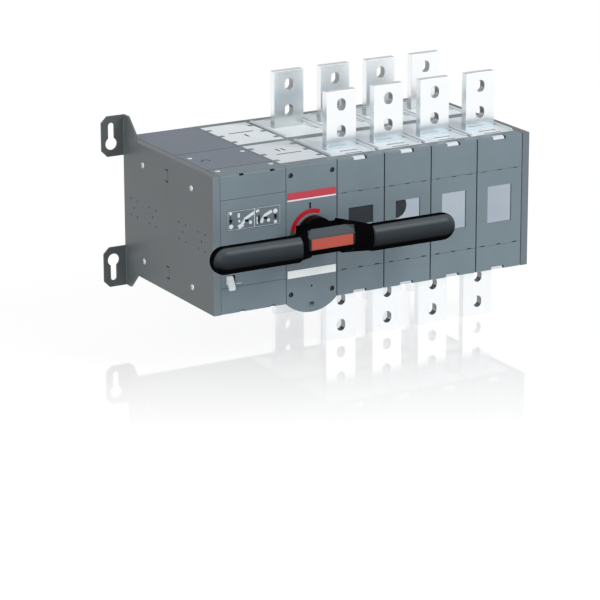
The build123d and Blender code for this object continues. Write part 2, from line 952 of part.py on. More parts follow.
def snap_spring(span):
    """A coil spring round the shaft."""
    y = behind(*span)
    turns_length = length(y) - 2 * spring_wire
    coil = Helix(spring_pitch, turns_length, spring_radius)
    start = Plane(origin=coil @ 0, z_dir=coil % 0)
    wire = sweep(start * Circle(spring_wire), path=coil, is_frenet=True)
    return Pos(handle_x, y[1] - spring_wire, 0) * Rot(90, 0, 0) * wire


save("mechanism_frame", mechanism_frame())
save("mechanism_cover", mechanism_cover())
save("mechanism_lid_front", mechanism_shell(shell_spans[0]))
save("mechanism_lid_rear", mechanism_shell(shell_spans[1]))
save("cover_screws", *cover_screws())
save("dial_ring", dial_ring())
save("shaft_bush", shaft_bush())
web_back = web_depth + web_thickness
rear_boss_depth = rear_rotor_depth - driving_boss_reach
spring_spans = (
    (web_depth - spring_seat - front_spring_length, web_depth - spring_seat),
    (web_back + spring_seat, rear_boss_depth - rear_spring_gap),
)
save("snap_springs", *[snap_spring(span) for span in spring_spans])
label_span = (mechanism_left + label_margin, poles_left - label_margin)
band_z = (top - band_inset - band_height, top - band_inset)
label_z = (bottom + label_inset, bottom + label_inset + label_height)
save("red_band", block(label_span, ahead(0, label_thickness), band_z))
save("label_plate", block(label_span, ahead(0, label_thickness), label_z))


# Poles

class Row:
    """One row of chambers: its span in Y, its lid, its terminal bars and its turning contacts."""

    def __init__(self, name, span, lid, bar_depth, rotor_depth, facing):
        self.name = name
        self.y = behind(*span)
        self.lid = behind(*lid)
        self.bar = behind(bar_depth, bar_depth + bar_thickness)
        self.rotor_y = front + rotor_depth
        self.facing = facing


front_row = Row("front", (0, half_depth), front_lid, front_bar_depth, front_rotor_depth, -1)
rear_row = Row("rear", (half_depth, body_depth), rear_lid, rear_bar_depth, rear_rotor_depth, 1)
rows = (front_row, rear_row)
pole_lefts = [poles_left + index * pole_pitch for index in range(pole_count)]


def bar_span(x0):
    middle_x = x0 + pole_pitch / 2
    return middle_x - bar_width / 2, middle_x + bar_width / 2


def bar_hole(x0, row):
    x, y = bar_span(x0), row.bar
    gap = bar_clearance
    return block((x[0] - gap, x[1] + gap), (y[0] - gap, y[1] + gap), (chamber_top - 1, top + 1))


def clip_room(x0):
    """The notch in the top front edge that a lid's clip comes through."""
    x = x0 + clip_left
    return block((x, x + clip_notch), behind(-1, clip_depth), (top - clip_drop, top + 1))


def pole_housing(x0, row):
    """One dark chamber with open windows for the bars, lids, shaft and tie rods."""
    x = (x0, x0 + pole_pitch)
    near_wall = cover_thickness if row is front_row else chamber_wall
    outer = block(x, row.y, (bottom, top))
    inside_y = (row.y[0] + near_wall, row.y[1] - chamber_wall)
    shell = outer - block((x0 + wall, x0 + pole_pitch - wall), inside_y, (-chamber_top, chamber_top))
    lid_x = (x0 + lid_side_inset, x0 + pole_pitch - lid_side_inset)
    upper_cuts = block(lid_x, row.lid, (lid_bottom, top + 1)) + bar_hole(x0, row)
    if row is front_row:
        upper_cuts += clip_room(x0)
        shell = chamfer(shell.edges().filter_by(Axis.X).group_by(Axis.Y)[0], edge_chamfer)
        shell -= block(x, behind(-1, cover_thickness), (pole_cover_bottom, pole_cover_top))
        joint_z = (bottom - 1, top + 1)
        for edge in (x0, x0 + pole_pitch):
            shell -= block((edge - pole_gap, edge + pole_gap), behind(-1, cover_thickness), joint_z)
    shell -= [upper_cuts, flipped(upper_cuts)]
    for wall_x in ((x0 - 1, x0 + wall + 1), (x0 + pole_pitch - wall - 1, x0 + pole_pitch + 1)):
        radius = rotor_radius + free_clearance
        if wall_x[0] < poles_left:
            radius = journal_radius + free_clearance
        if wall_x[1] > poles_right:
            radius = journal_radius + running_clearance
        shell -= rod_x(radius, wall_x, row.rotor_y, 0)
    for depth in tie_depths:
        for z in (-tie_height, tie_height):
            shell -= rod_x(tie_radius + fit, (x0 - 1, x0 + pole_pitch + 1), front + depth, z)
    if x[1] == poles_right:
        shell -= [
            rod_x(side_screw_radius, (poles_right - wall + 1, poles_right + 1), y, z)
            for y, z in side_screw_places()
        ]
    return shell


def pole_cover(x0):
    """The front panel of one pole with its window frame and the dashes along its joints."""
    z = (pole_cover_bottom + fit, pole_cover_top - fit)
    cover = block((x0 + pole_gap, x0 + pole_pitch - pole_gap), behind(0, cover_thickness), z)
    window_x = (x0 + window_left, x0 + window_left + window_width)
    window_z = (window_top - window_height, window_top)
    cover -= block(window_x, behind(-1, cover_thickness), window_z)
    cover -= pane(x0, fit)
    for place in dash_places:
        dash_x = (x0 + place - dash_width / 2, x0 + place + dash_width / 2)
        cover -= block(dash_x, behind(-1, cover_thickness + 1), (z[1] - upper_dash_height, z[1] + 1))
        cover -= block(dash_x, behind(-1, cover_thickness + 1), (z[0] - 1, z[0] + dash_height))
    return cover


def pane(x0, clearance):
    """The clear pane behind the window's lip, or its seat when given a clearance."""
    lip = window_lip + clearance
    x = (x0 + window_left - lip, x0 + window_left + window_width + lip)
    z = (window_top - window_height - lip, window_top + lip)
    depth = (pane_depth, cover_thickness + 1) if clearance else (pane_depth, pane_depth + pane_thickness)
    return block(x, behind(*depth), z)


def lid(x0, row):
    """The light insulating lid of one chamber, with ridges beside the joints and slits by the bar."""
    x = (x0 + lid_side_inset + fit, x0 + pole_pitch - lid_side_inset - fit)
    y = (row.lid[0] + fit, row.lid[1] - fit)
    plate = block(x, y, (lid_bottom, top))
    ridge_y = (y[0] + ridge_margin, y[1] - ridge_margin)
    for left in (x0 + ridge_inset, x0 + pole_pitch - ridge_inset - ridge_width):
        plate += block((left, left + ridge_width), ridge_y, (top, top + ridge_height))
    slit_x = (x0 + pole_pitch - slit_inset - slit_length, x0 + pole_pitch - slit_inset)
    through = (lid_bottom - 1, top + ridge_height + 1)
    for step in range(slit_count):
        slit_y = middle(row.bar) - row.facing * (slit_start + slit_pitch * step)
        plate -= block(slit_x, (slit_y - slit_width / 2, slit_y + slit_width / 2), through)
    groove_x = (x0 + lid_groove_left, x0 + lid_groove_left + lid_groove_length)
    half = lid_groove_width / 2
    for inset in lid_groove_insets:
        groove_y = row.lid[0] + inset if row is front_row else row.lid[1] - inset
        plate -= block(groove_x, (groove_y - half, groove_y + half), (top - lid_groove_depth, top + 1))
    return plate - bar_hole(x0, row)


def lid_clip(x0):
    """The pale hook of a lid where it shows in the front edge."""
    x = x0 + clip_left + fit
    tip_z = (top - clip_drop + fit, top - clip_sink)
    tip = block((x, x + clip_width), behind(clip_setback, clip_depth - fit), tip_z)
    return chamfer(tip.edges().filter_by(Axis.X).group_by(Axis.Y)[0].sort_by(Axis.Z)[-1], clip_chamfer)


def terminal_bar(x0, row):
    """One tinned copper bar: two bolt slots outside and two knife slots for the blades inside."""
    tip = top + bar_reach
    bar = block(bar_span(x0), row.bar, (bar_inner_height, tip))
    bolt_run = (bar_slot_length - bar_slot_width) / 2
    through = (row.bar[0] - 1, row.bar[1] + 1)
    centre_x = x0 + pole_pitch / 2
    for index in range(2):
        z = tip - bar_slot_margin - index * bar_slot_pitch
        half = bar_slot_width / 2
        bar -= rod_y(half, centre_x, through, z - bolt_run)
        bar -= rod_y(half, centre_x, through, z + bolt_run)
        bar -= block((centre_x - half, centre_x + half), through, (z - bolt_run, z + bolt_run))
    half = blade_thickness / 2 + blade_gap
    finger_z = (bar_inner_height - 1, bar_inner_height + finger_length)
    for x in blade_places(x0):
        bar -= block((x - half, x + half), through, finger_z)
    return bar


def blade_places(x0):
    centre = x0 + pole_pitch / 2
    return centre - blade_offset, centre + blade_offset


def splitter_plates(x0, row):
    """Steel plates fanned out over the path that a blade's tip takes when it opens."""
    width = pole_pitch - 2 * wall - 2 * fit
    reach = splitter_outer - splitter_inner
    plate = Pos(0, 0, splitter_inner + reach / 2) * Box(width, splitter_thickness, reach)
    place = Pos(x0 + pole_pitch / 2, row.rotor_y, 0)
    for angle in splitter_angles:
        for turn in (0, 180):
            yield place * Rot(-row.facing * angle + turn, 0, 0) * plate


for index, x0 in enumerate(pole_lefts, start=1):
    save(f"pole_housing_front_{index}", pole_housing(x0, front_row))
    save(f"pole_housing_rear_{index}", pole_housing(x0, rear_row))
    save(f"pole_cover_{index}", pole_cover(x0))

save("contact_windows", *[pane(x0, 0) for x0 in pole_lefts])
for row in rows:
    lids = [lid(x0, row) for x0 in pole_lefts]
    if row is front_row:
        lids += [lid_clip(x0) for x0 in pole_lefts]
    save(f"chamber_lids_{row.name}", *lids, *[flipped(piece) for piece in lids])
    bars = [terminal_bar(x0, row) for x0 in pole_lefts]
    save(f"terminal_bars_{row.name}_top", *bars)
    save(f"terminal_bars_{row.name}_bottom", *[flipped(bar) for bar in bars])
save("arc_splitters", *[plate for x0 in pole_lefts for row in rows for plate in splitter_plates(x0, row)])


def hexagon_x(radius, x, y, z):
    """A hexagonal nut or head along X."""
    outline = Plane(origin=(x[0], y, z), x_dir=(0, 1, 0), z_dir=(1, 0, 0)) * RegularPolygon(radius, 6)
    return extrude(outline, amount=length(x), dir=(1, 0, 0))


def tie_rods():
    """Four long rods with a nut at each end."""
    start = poles_left - wall
    for depth in tie_depths:
        for z in (-tie_height, tie_height):
            y = front + depth
            rod = rod_x(tie_radius, (start - nut_thickness, poles_right + nut_thickness), y, z)
            rod += hexagon_x(nut_radius, (start - nut_thickness, start), y, z)
            rod += hexagon_x(nut_radius, (poles_right, poles_right + nut_thickness), y, z)
            yield rod


save("tie_rods", *tie_rods())


# Turning contacts

def blades(row):
    """The knife blades of one switch, half way open as they stand in the off position."""
    knife = Box(blade_thickness, blade_width, blade_length)
    knife = chamfer(knife.edges().filter_by(Axis.Y), blade_chamfer)
    for x0 in pole_lefts:
        for x in blade_places(x0):
            yield Pos(x, row.rotor_y, 0) * Rot(-row.facing * blade_rest_angle, 0, 0) * knife


def rotor(row):
    """The insulating shaft that turns all the blades of one switch."""
    start = poles_left + wall + free_clearance
    end = poles_right - wall - free_clearance
    bevel_face_x = handle_x + bevel_module * bevel_drive_teeth / 2
    body = rod_x(rotor_radius, (start, end), row.rotor_y, 0)
    body += rod_x(journal_radius, (bevel_face_x, start), row.rotor_y, 0)
    body += rod_x(journal_radius, (end, poles_right), row.rotor_y, 0)
    return body - list(blades(row))


def bevel_gear(teeth, mate_teeth, bore, boss, back, phase):
    """A bevel gear about Z whose pitch cone has its tip at the origin and opens upwards.

    The blank's seam lies half way between two teeth.
    """
    slope = atan2(teeth, mate_teeth)
    cone = bevel_module * hypot(teeth, mate_teeth) / 2
    inner_scale = (cone - bevel_face) / cone
    step = 360 / teeth

    def on_cone(scale, height):
        radius = scale * (cone * sin(slope) + height * cos(slope))
        return radius, scale * (cone * cos(slope) - height * sin(slope))

    def tooth_face(scale):
        low, high = -bevel_dedendum - bevel_tooth_sink, bevel_addendum
        half_low = bevel_half_tooth - low * tan(radians(bevel_flank))
        half_high = bevel_half_tooth - high * tan(radians(bevel_flank))
        corners = []
        for height, half in ((low, -half_low), (low, half_low), (high, half_high), (high, -half_high)):
            radius, z = on_cone(scale, height)
            corners.append((radius, scale * half, z))
        return make_face(Polyline(corners, close=True))

    root_out = on_cone(1, -bevel_dedendum)
    root_in = on_cone(inner_scale, -bevel_dedendum)
    inner_z = root_in[1] + bevel_web
    rim_z = root_out[1] + bevel_rim
    profile = [
        (bore, inner_z),
        (root_in[0] - bevel_lip, inner_z),
        root_in,
        root_out,
        (root_out[0], rim_z),
        (boss, rim_z),
        (boss, back),
        (bore, back),
    ]
    blank = revolve(make_face(Polyline([(r, 0, z) for r, z in profile], close=True)), Axis.Z)
    tooth = loft([tooth_face(1), tooth_face(inner_scale)])
    ring = [Rot(0, 0, (index + phase) * step) * tooth for index in range(teeth)]
    return Rot(0, 0, (phase + 0.5) * step) * blank + ring


def driven_bevel(row):
    gear = bevel_gear(
        bevel_driven_teeth, bevel_drive_teeth, journal_radius, driven_boss_radius, driven_boss_reach, 0.5
    )
    return Pos(handle_x, row.rotor_y, 0) * Rot(0, 90, 0) * gear


def driving_bevel(row):
    gear = bevel_gear(
        bevel_drive_teeth, bevel_driven_teeth, shaft_radius, driving_boss_radius, driving_boss_reach, 0
    )
    return Pos(handle_x, row.rotor_y, 0) * Rot(90, 0, 0) * gear


for row in rows:
    save(f"rotor_{row.name}", rotor(row))
    save(f"moving_contacts_{row.name}", *blades(row))
    save(f"rotor_bevel_{row.name}", driven_bevel(row))


# Shaft and gears

def involute_angle(ratio):
    """The involute function of the angle whose cosine is the given ratio."""
    angle = acos(ratio)
    return tan(angle) - angle


def spur_gear(teeth, module, bore, x, depths, phase):
    """A spur gear about an axis along Y. Its flanks are involutes in four straight steps."""
    pitch = module * teeth / 2
    base = pitch * cos(radians(spur_pressure))
    tip = pitch + spur_addendum * module
    root = pitch - spur_dedendum * module
    half_at_pitch = (pi * module / 2 - spur_backlash) / 2 / pitch
    at_pitch = involute_angle(cos(radians(spur_pressure)))
    flank = []
    start = max(base, root)
    for index in range(flank_steps + 1):
        radius = start + (tip - start) * index / flank_steps
        flank.append((radius, half_at_pitch + at_pitch - involute_angle(base / radius)))
    if root < base:
        flank.insert(0, (root, flank[0][1]))
    outline = []
    for index in range(teeth):
        centre = 2 * pi * (index + phase) / teeth
        side = [(radius, centre - angle) for radius, angle in flank]
        side += [(radius, centre + angle) for radius, angle in reversed(flank)]
        outline += [(radius * cos(angle), radius * sin(angle)) for radius, angle in side]
    y = behind(*depths)
    place = Plane(origin=(x, y[1], 0), x_dir=(1, 0, 0), z_dir=(0, -1, 0))
    gear = extrude(place * make_face(Polyline(outline, close=True)), amount=length(y), dir=(0, -1, 0))
    return gear - rod_y(bore, x, (y[0] - 1, y[1] + 1), 0)


def handle_shaft():
    """The steel shaft with a square nose for the handle."""
    shaft = rod_y(shaft_radius, handle_x, (front - hub_start + 1, front + shaft_end_depth - 1), 0)
    half = shaft_square / 2
    return shaft + block((handle_x - half, handle_x + half), ahead(0, square_end), (-half, half))


def output_gear():
    """The large gear on the shaft, with a hub behind it."""
    gear = spur_gear(output_teeth, output_module, shaft_radius, handle_x, output_gear_depths, 0)
    near, far = output_gear_depths
    for index in range(gear_hole_count):
        angle = 2 * pi * (index + 0.5) / gear_hole_count
        x = handle_x + gear_hole_reach * cos(angle)
        gear -= rod_y(gear_hole_radius, x, behind(near - 1, far + 1), gear_hole_reach * sin(angle))
    return gear


def idler_gear():
    """The double gear between the motor's pinion and the output gear."""
    bore = idler_pin_radius + running_clearance
    small = spur_gear(small_teeth, output_module, bore, idler_x, output_gear_depths, 0.5)
    large = spur_gear(large_teeth, motor_module, bore, idler_x, motor_gear_depths, 0)
    y = behind(output_gear_depths[1] - 1, motor_gear_depths[0] + 1)
    collar = rod_y(idler_collar_radius, idler_x, y, 0) - rod_y(bore, idler_x, (y[0] - 1, y[1] + 1), 0)
    return small + collar + large


def motor_pinion():
    """The pinion with the motor's shaft."""
    pinion = spur_gear(pinion_teeth, motor_module, motor_shaft_radius, motor_x, motor_gear_depths, 0.5)
    shaft_y = behind(motor_gear_depths[0], gear_plate_depths[1] + motor_shaft_reach)
    return pinion + rod_y(motor_shaft_radius, motor_x, shaft_y, 0)


save("handle_shaft", handle_shaft())
save("output_gear", output_gear())
save("shaft_bevels", driving_bevel(front_row), driving_bevel(rear_row))
save("idler_gear", idler_gear())
save("motor_pinion", motor_pinion())


# Handle

def handle_hub():
    """The round foot of the handle with the square socket for the shaft."""
    hub = rod_y(hub_radius, handle_x, ahead(hub_start, hub_end), 0)
    hub = fillet(hub.edges().group_by(Axis.Y)[0], hub_back_round)
    hub = chamfer(hub.edges().group_by(Axis.Y)[-1], hub_front_chamfer)
    half = shaft_square / 2 + running_clearance
    return hub - block((handle_x - half, handle_x + half), ahead(0, hub_end + 1), (-half, half))


def grip(side):
    """One rounded grip with a full round at its outer end."""
    end_radius = grip_height / 2
    inner, centre = grip_inner, grip_outer - end_radius
    place = Plane(origin=(handle_x, front - grip_back, 0), x_dir=(1, 0, 0), z_dir=(0, -1, 0))
    outline = Pos(side * (inner + centre) / 2, 0) * Rectangle(centre - inner, grip_height)
    outline += Pos(side * centre, 0) * Circle(end_radius)
    body = extrude(place * outline, amount=grip_front - grip_back, dir=(0, -1, 0))
    rims = [
        edge
        for edge in body.edges().group_by(Axis.Y)[0] + body.edges().group_by(Axis.Y)[-1]
        if abs(edge.center().X - handle_x) > inner + 1
    ]
    return fillet(rims, grip_round)


def arm(side):
    """The sloping arm from the hub out and forward to a grip."""
    def section(reach, near, far, height, corner):
        plane = Plane(
            origin=(handle_x + side * reach, front - (near + far) / 2, 0),
            x_dir=(0, 1, 0),
            z_dir=(1, 0, 0),
        )
        return plane * RectangleRounded(far - near, height, corner)

    inset = arm_inset
    root = section(arm_root, hub_end + 0.5, arm_root_front, arm_root_height, arm_root_corner)
    end = section(
        grip_inner + arm_lap,
        grip_back + inset,
        grip_front - inset,
        grip_height - 2 * inset,
        arm_corner,
    )
    return loft([root, end])


def handle_grip():
    """The black moulding: block, arms and grips, with the pocket for the padlock slide."""
    block_points = [
        (front - hub_end, block_half_height),
        (front - block_shoulder, block_half_height),
        (front - block_front, block_face_half_height),
        (front - block_front, -block_face_half_height),
        (front - block_shoulder, -block_half_height),
        (front - hub_end, -block_half_height),
    ]
    x = (handle_x - block_half_width, handle_x + block_half_width)
    body = prism_x(block_points, x)
    neck = Cone(
        neck_back_radius, neck_front_radius, neck_length, align=(Align.CENTER, Align.CENTER, Align.MIN)
    )
    body += Pos(handle_x, front - hub_end, 0) * Rot(90, 0, 0) * neck
    body += [arm(-1), arm(1), grip(-1), grip(1)]
    half_width = slide_width / 2 + slide_clearance
    half_height = slide_height / 2 + slide_clearance
    pocket = block(
        (handle_x - half_width, handle_x + half_width),
        ahead(slide_back - slide_clearance, block_front + 1),
        (-half_height, half_height),
    )
    body -= pocket
    body -= rod_y(handle_screw_room, handle_x, ahead(square_end + handle_screw_gap, slide_back), 0)
    body -= rod_y(handle_screw_radius, handle_x, ahead(hub_end - 1, slide_back), 0)
    half = shaft_square / 2 + running_clearance
    body -= block((handle_x - half, handle_x + half), ahead(hub_end - 1, square_end + 0.2), (-half, half))
    return body


def padlock_slide():
    """The orange slide with a slot for padlock shackles, which shows when it is pulled out."""
    x = (handle_x - slide_width / 2, handle_x + slide_width / 2)
    z = (-slide_height / 2, slide_height / 2)
    slide = block(x, ahead(slide_back, block_front), z)
    slide = fillet(slide.edges().group_by(Axis.Y)[0], slide_round)
    slot = (shackle_low, shackle_high)
    ends = shackle_half_width - length(slot) / 2
    slide -= block((handle_x - ends, handle_x + ends), ahead(*slot), (-20, 20))
    for side in (-1, 1):
        slide -= rod_z(length(slot) / 2, handle_x + side * ends, front - middle(slot), (-20, 20))
    return slide


def handle_screw():
    """The screw that holds the handle on its shaft, under the slide."""
    head_start = square_end + handle_screw_gap
    head_end = head_start + handle_screw_head_length
    head = rod_y(handle_screw_head, handle_x, ahead(head_start, head_end), 0)
    socket_y = ahead(head_end - handle_screw_socket_depth, head_end + 1)
    head -= rod_y(handle_screw_socket, handle_x, socket_y, 0)
    return head + rod_y(handle_screw_radius, handle_x, ahead(square_end, head_start), 0)


save("handle_hub", handle_hub())
save("handle_grip", handle_grip())
save("padlock_slide", padlock_slide())
save("handle_screw", handle_screw())
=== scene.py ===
# %% [markdown]
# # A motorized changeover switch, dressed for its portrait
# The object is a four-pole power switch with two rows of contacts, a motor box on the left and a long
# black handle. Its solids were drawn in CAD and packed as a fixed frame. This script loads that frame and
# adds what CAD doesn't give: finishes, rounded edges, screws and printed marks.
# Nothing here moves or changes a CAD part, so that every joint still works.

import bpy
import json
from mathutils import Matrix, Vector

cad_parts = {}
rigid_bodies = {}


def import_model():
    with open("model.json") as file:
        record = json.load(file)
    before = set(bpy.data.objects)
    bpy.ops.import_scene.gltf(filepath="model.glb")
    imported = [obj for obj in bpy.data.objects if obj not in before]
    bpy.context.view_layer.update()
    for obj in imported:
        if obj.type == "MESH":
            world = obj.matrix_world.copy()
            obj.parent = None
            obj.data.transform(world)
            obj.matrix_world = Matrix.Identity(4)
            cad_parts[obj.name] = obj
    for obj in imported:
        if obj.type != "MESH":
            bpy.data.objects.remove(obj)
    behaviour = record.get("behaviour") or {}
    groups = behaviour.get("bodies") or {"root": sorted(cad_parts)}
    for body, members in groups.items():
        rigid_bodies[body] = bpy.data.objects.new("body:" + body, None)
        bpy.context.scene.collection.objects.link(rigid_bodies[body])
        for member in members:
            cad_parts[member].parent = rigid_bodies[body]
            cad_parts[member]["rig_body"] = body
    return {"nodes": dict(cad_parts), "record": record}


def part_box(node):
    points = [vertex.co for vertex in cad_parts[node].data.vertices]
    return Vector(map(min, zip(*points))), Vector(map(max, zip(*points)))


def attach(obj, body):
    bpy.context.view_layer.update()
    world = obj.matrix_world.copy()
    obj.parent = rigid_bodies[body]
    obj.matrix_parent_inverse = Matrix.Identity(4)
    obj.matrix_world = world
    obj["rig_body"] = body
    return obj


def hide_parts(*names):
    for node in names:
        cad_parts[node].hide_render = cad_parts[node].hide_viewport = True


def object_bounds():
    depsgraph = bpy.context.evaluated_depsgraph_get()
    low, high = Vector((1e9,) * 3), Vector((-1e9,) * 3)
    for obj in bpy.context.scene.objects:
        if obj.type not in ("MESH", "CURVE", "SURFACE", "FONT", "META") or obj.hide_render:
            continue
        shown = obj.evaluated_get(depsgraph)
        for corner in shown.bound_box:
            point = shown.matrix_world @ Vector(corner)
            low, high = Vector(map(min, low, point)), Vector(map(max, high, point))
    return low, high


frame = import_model()
cad_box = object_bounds()
nodes = frame["nodes"]
print("frame:", len(nodes), "nodes, box", [[round(v, 4) for v in corner] for corner in cad_box])

# %% [markdown]
# ## Measures
# The frame's unit is the metre. A switch is measured in millimetres, so one short value turns them over.
# X runs to the right along the poles, Y runs to the rear and Z up.

# %% Measures and tools
import itertools
import json
import math

import bmesh
import bpy
from mathutils import Quaternion, Vector

mm = 0.001
front_y = -281.0 * mm
handle_x = -106.75 * mm
floor_z = cad_box[0][2]
scene = bpy.context.scene


def new_object(name, data):
    """A new object in the scene."""
    piece = bpy.data.objects.new(name, data)
    scene.collection.objects.link(piece)
    return piece


# %% [markdown]
# ## Camera
# The photograph was taken from the front left, a little above the switch, with a long lens. A camera was
# fitted to forty corners of the photograph, and these numbers are its result. A long lens keeps the
# poles' edges almost parallel. A camera in Blender looks down its own -Z axis, so the direction away
# from the switch becomes its +Z axis.

# %% Camera
camera_place = Vector((-2249.2, -4009.4, 1200.6)) * mm
camera_azimuth = math.radians(-29.656)
camera_elevation = math.radians(16.852)
camera_roll = math.radians(-0.1245)
frame_pixels = 600
focal_pixels = 3098.4
sensor_width = 36.0

away = Vector((
    math.sin(camera_azimuth) * math.cos(camera_elevation),
    -math.cos(camera_azimuth) * math.cos(camera_elevation),
    math.sin(camera_elevation),
))
camera_data = bpy.data.cameras.new("photo_camera")
camera_data.sensor_width = sensor_width
camera_data.lens = focal_pixels / frame_pixels * sensor_width
camera = new_object("photo_camera", camera_data)
camera.location = camera_place
camera.rotation_mode = "QUATERNION"
camera.rotation_quaternion = (-away).to_track_quat("-Z", "Y") @ Quaternion((0, 0, 1), camera_roll)
scene.camera = camera
print("lens", round(camera_data.lens, 2), "mm")

# %% [markdown]
# ## Node trees written as text
# Materials and Geometry Nodes are both trees of nodes. Wiring them by hand takes many lines, so two small
# classes help. A `Wire` wraps one socket and overloads the operators, so that `1 - mask` adds the Math
# node that it needs. A `Recipe` adds any other node, and has short names for the steps used most.

# %% Wire and Recipe
class Wire:
    """One output socket of a node tree, which can stand in a Python expression."""

    def __init__(self, tree, socket):
        self.tree = tree
        self.socket = socket

    def _math(self, operation, first, second):
        node = self.tree.nodes.new("ShaderNodeMath")
        node.operation = operation
        for slot, value in zip(node.inputs, (first, second)):
            plug(self.tree, slot, value)
        return Wire(self.tree, node.outputs[0])

    def __add__(self, other):
        return self._math("ADD", self, other)

    def __radd__(self, other):
        return self._math("ADD", other, self)

    def __sub__(self, other):
        return self._math("SUBTRACT", self, other)

    def __rsub__(self, other):
        return self._math("SUBTRACT", other, self)

    def __mul__(self, other):
        return self._math("MULTIPLY", self, other)

    def __rmul__(self, other):
        return self._math("MULTIPLY", other, self)

    def __truediv__(self, other):
        return self._math("DIVIDE", self, other)

    def __gt__(self, other):
        return self._math("GREATER_THAN", self, other)

    def __lt__(self, other):
        return self._math("LESS_THAN", self, other)

    def __abs__(self):
        return self._math("ABSOLUTE", self, 0.0)


def plug(tree, slot, value):
    """Links a wire to a socket, or writes a plain value into it."""
    if isinstance(value, Wire):
        tree.links.new(value.socket, slot)
    else:
        slot.default_value = value


class Recipe:
    """A node tree with short ways to add its nodes."""

    def __init__(self, tree):
        self.tree = tree

    def node(self, kind, settings=None, sockets=None, output=0):
        """Any node, with its settings, and a wire or a value for each socket."""
        node = self.tree.nodes.new(kind)
        for name, value in (settings or {}).items():
            setattr(node, name, value)
        for name, value in (sockets or {}).items():
            plug(self.tree, node.inputs[name], value)
        return Wire(self.tree, node.outputs[output])

    def calc(self, operation, *values):
        """A Math node."""
        return self.node("ShaderNodeMath", {"operation": operation}, dict(enumerate(values)))

    def span(self, value, low, high, bottom=0.0, top=1.0):
        """Maps a value from low..high to bottom..top and holds it there."""
        return self.node("ShaderNodeMapRange", sockets={
            "Value": value, "From Min": low, "From Max": high, "To Min": bottom, "To Max": top,
        })

    def vector(self, x=0.0, y=0.0, z=0.0):
        """A vector of three wires or numbers."""
        return self.node("ShaderNodeCombineXYZ", sockets={"X": x, "Y": y, "Z": z})

    def length(self, vector):
        """The length of a vector."""
        return self.node("ShaderNodeVectorMath", {"operation": "LENGTH"}, {0: vector}, output="Value")

    def split(self, vector):
        """The three wires of a vector."""
        node = self.tree.nodes.new("ShaderNodeSeparateXYZ")
        plug(self.tree, node.inputs[0], vector)
        return [Wire(self.tree, socket) for socket in node.outputs]


# %% [markdown]
# ## A finish
# Every surface uses the Principled shader. A `Finish` starts one material and holds what most of them
# need: the place of a point on the switch, noise at a given grain size, a mix of two colours, and bump.
# The place comes from Object coordinates: each part's object sits at the origin, so these are the same
# millimetres for every part, and a pattern runs on from one part to the next. The place also tells
# where grooves, seams and channels lie, which get painted shade.

# %% Finish
pole_pitch = 80.0 * mm
lid_groove_height = 102.3 * mm
lid_foot_height = 98.0 * mm
lid_front = -262.0 * mm
first_channel = -64.5 * mm
channel_half_width = 2.4 * mm
recess_start = 0.6 * mm
recess_end = 7.0 * mm
recess_half_height = 101.3 * mm
flap_right = -150.0 * mm
flap_top = -50.0 * mm
flap_seam_relief = 0.65
latch_shade_x = handle_x + 1.6 * mm
latch_shade_drop = 106.4 * mm
latch_half_width = 4.0 * mm
latch_half_height = 2.9 * mm
grip_start = 59.5 * mm
grip_rim = -353.0 * mm
rim_blend = 1.0 * mm
block_edge = 38.0 * mm
block_shoulder = -328.0 * mm
block_half_height = 19.6 * mm
noise_low = 0.3
noise_high = 0.7


def shade(colour, factor):
    """A colour made darker or paler."""
    return tuple(c * factor for c in colour)


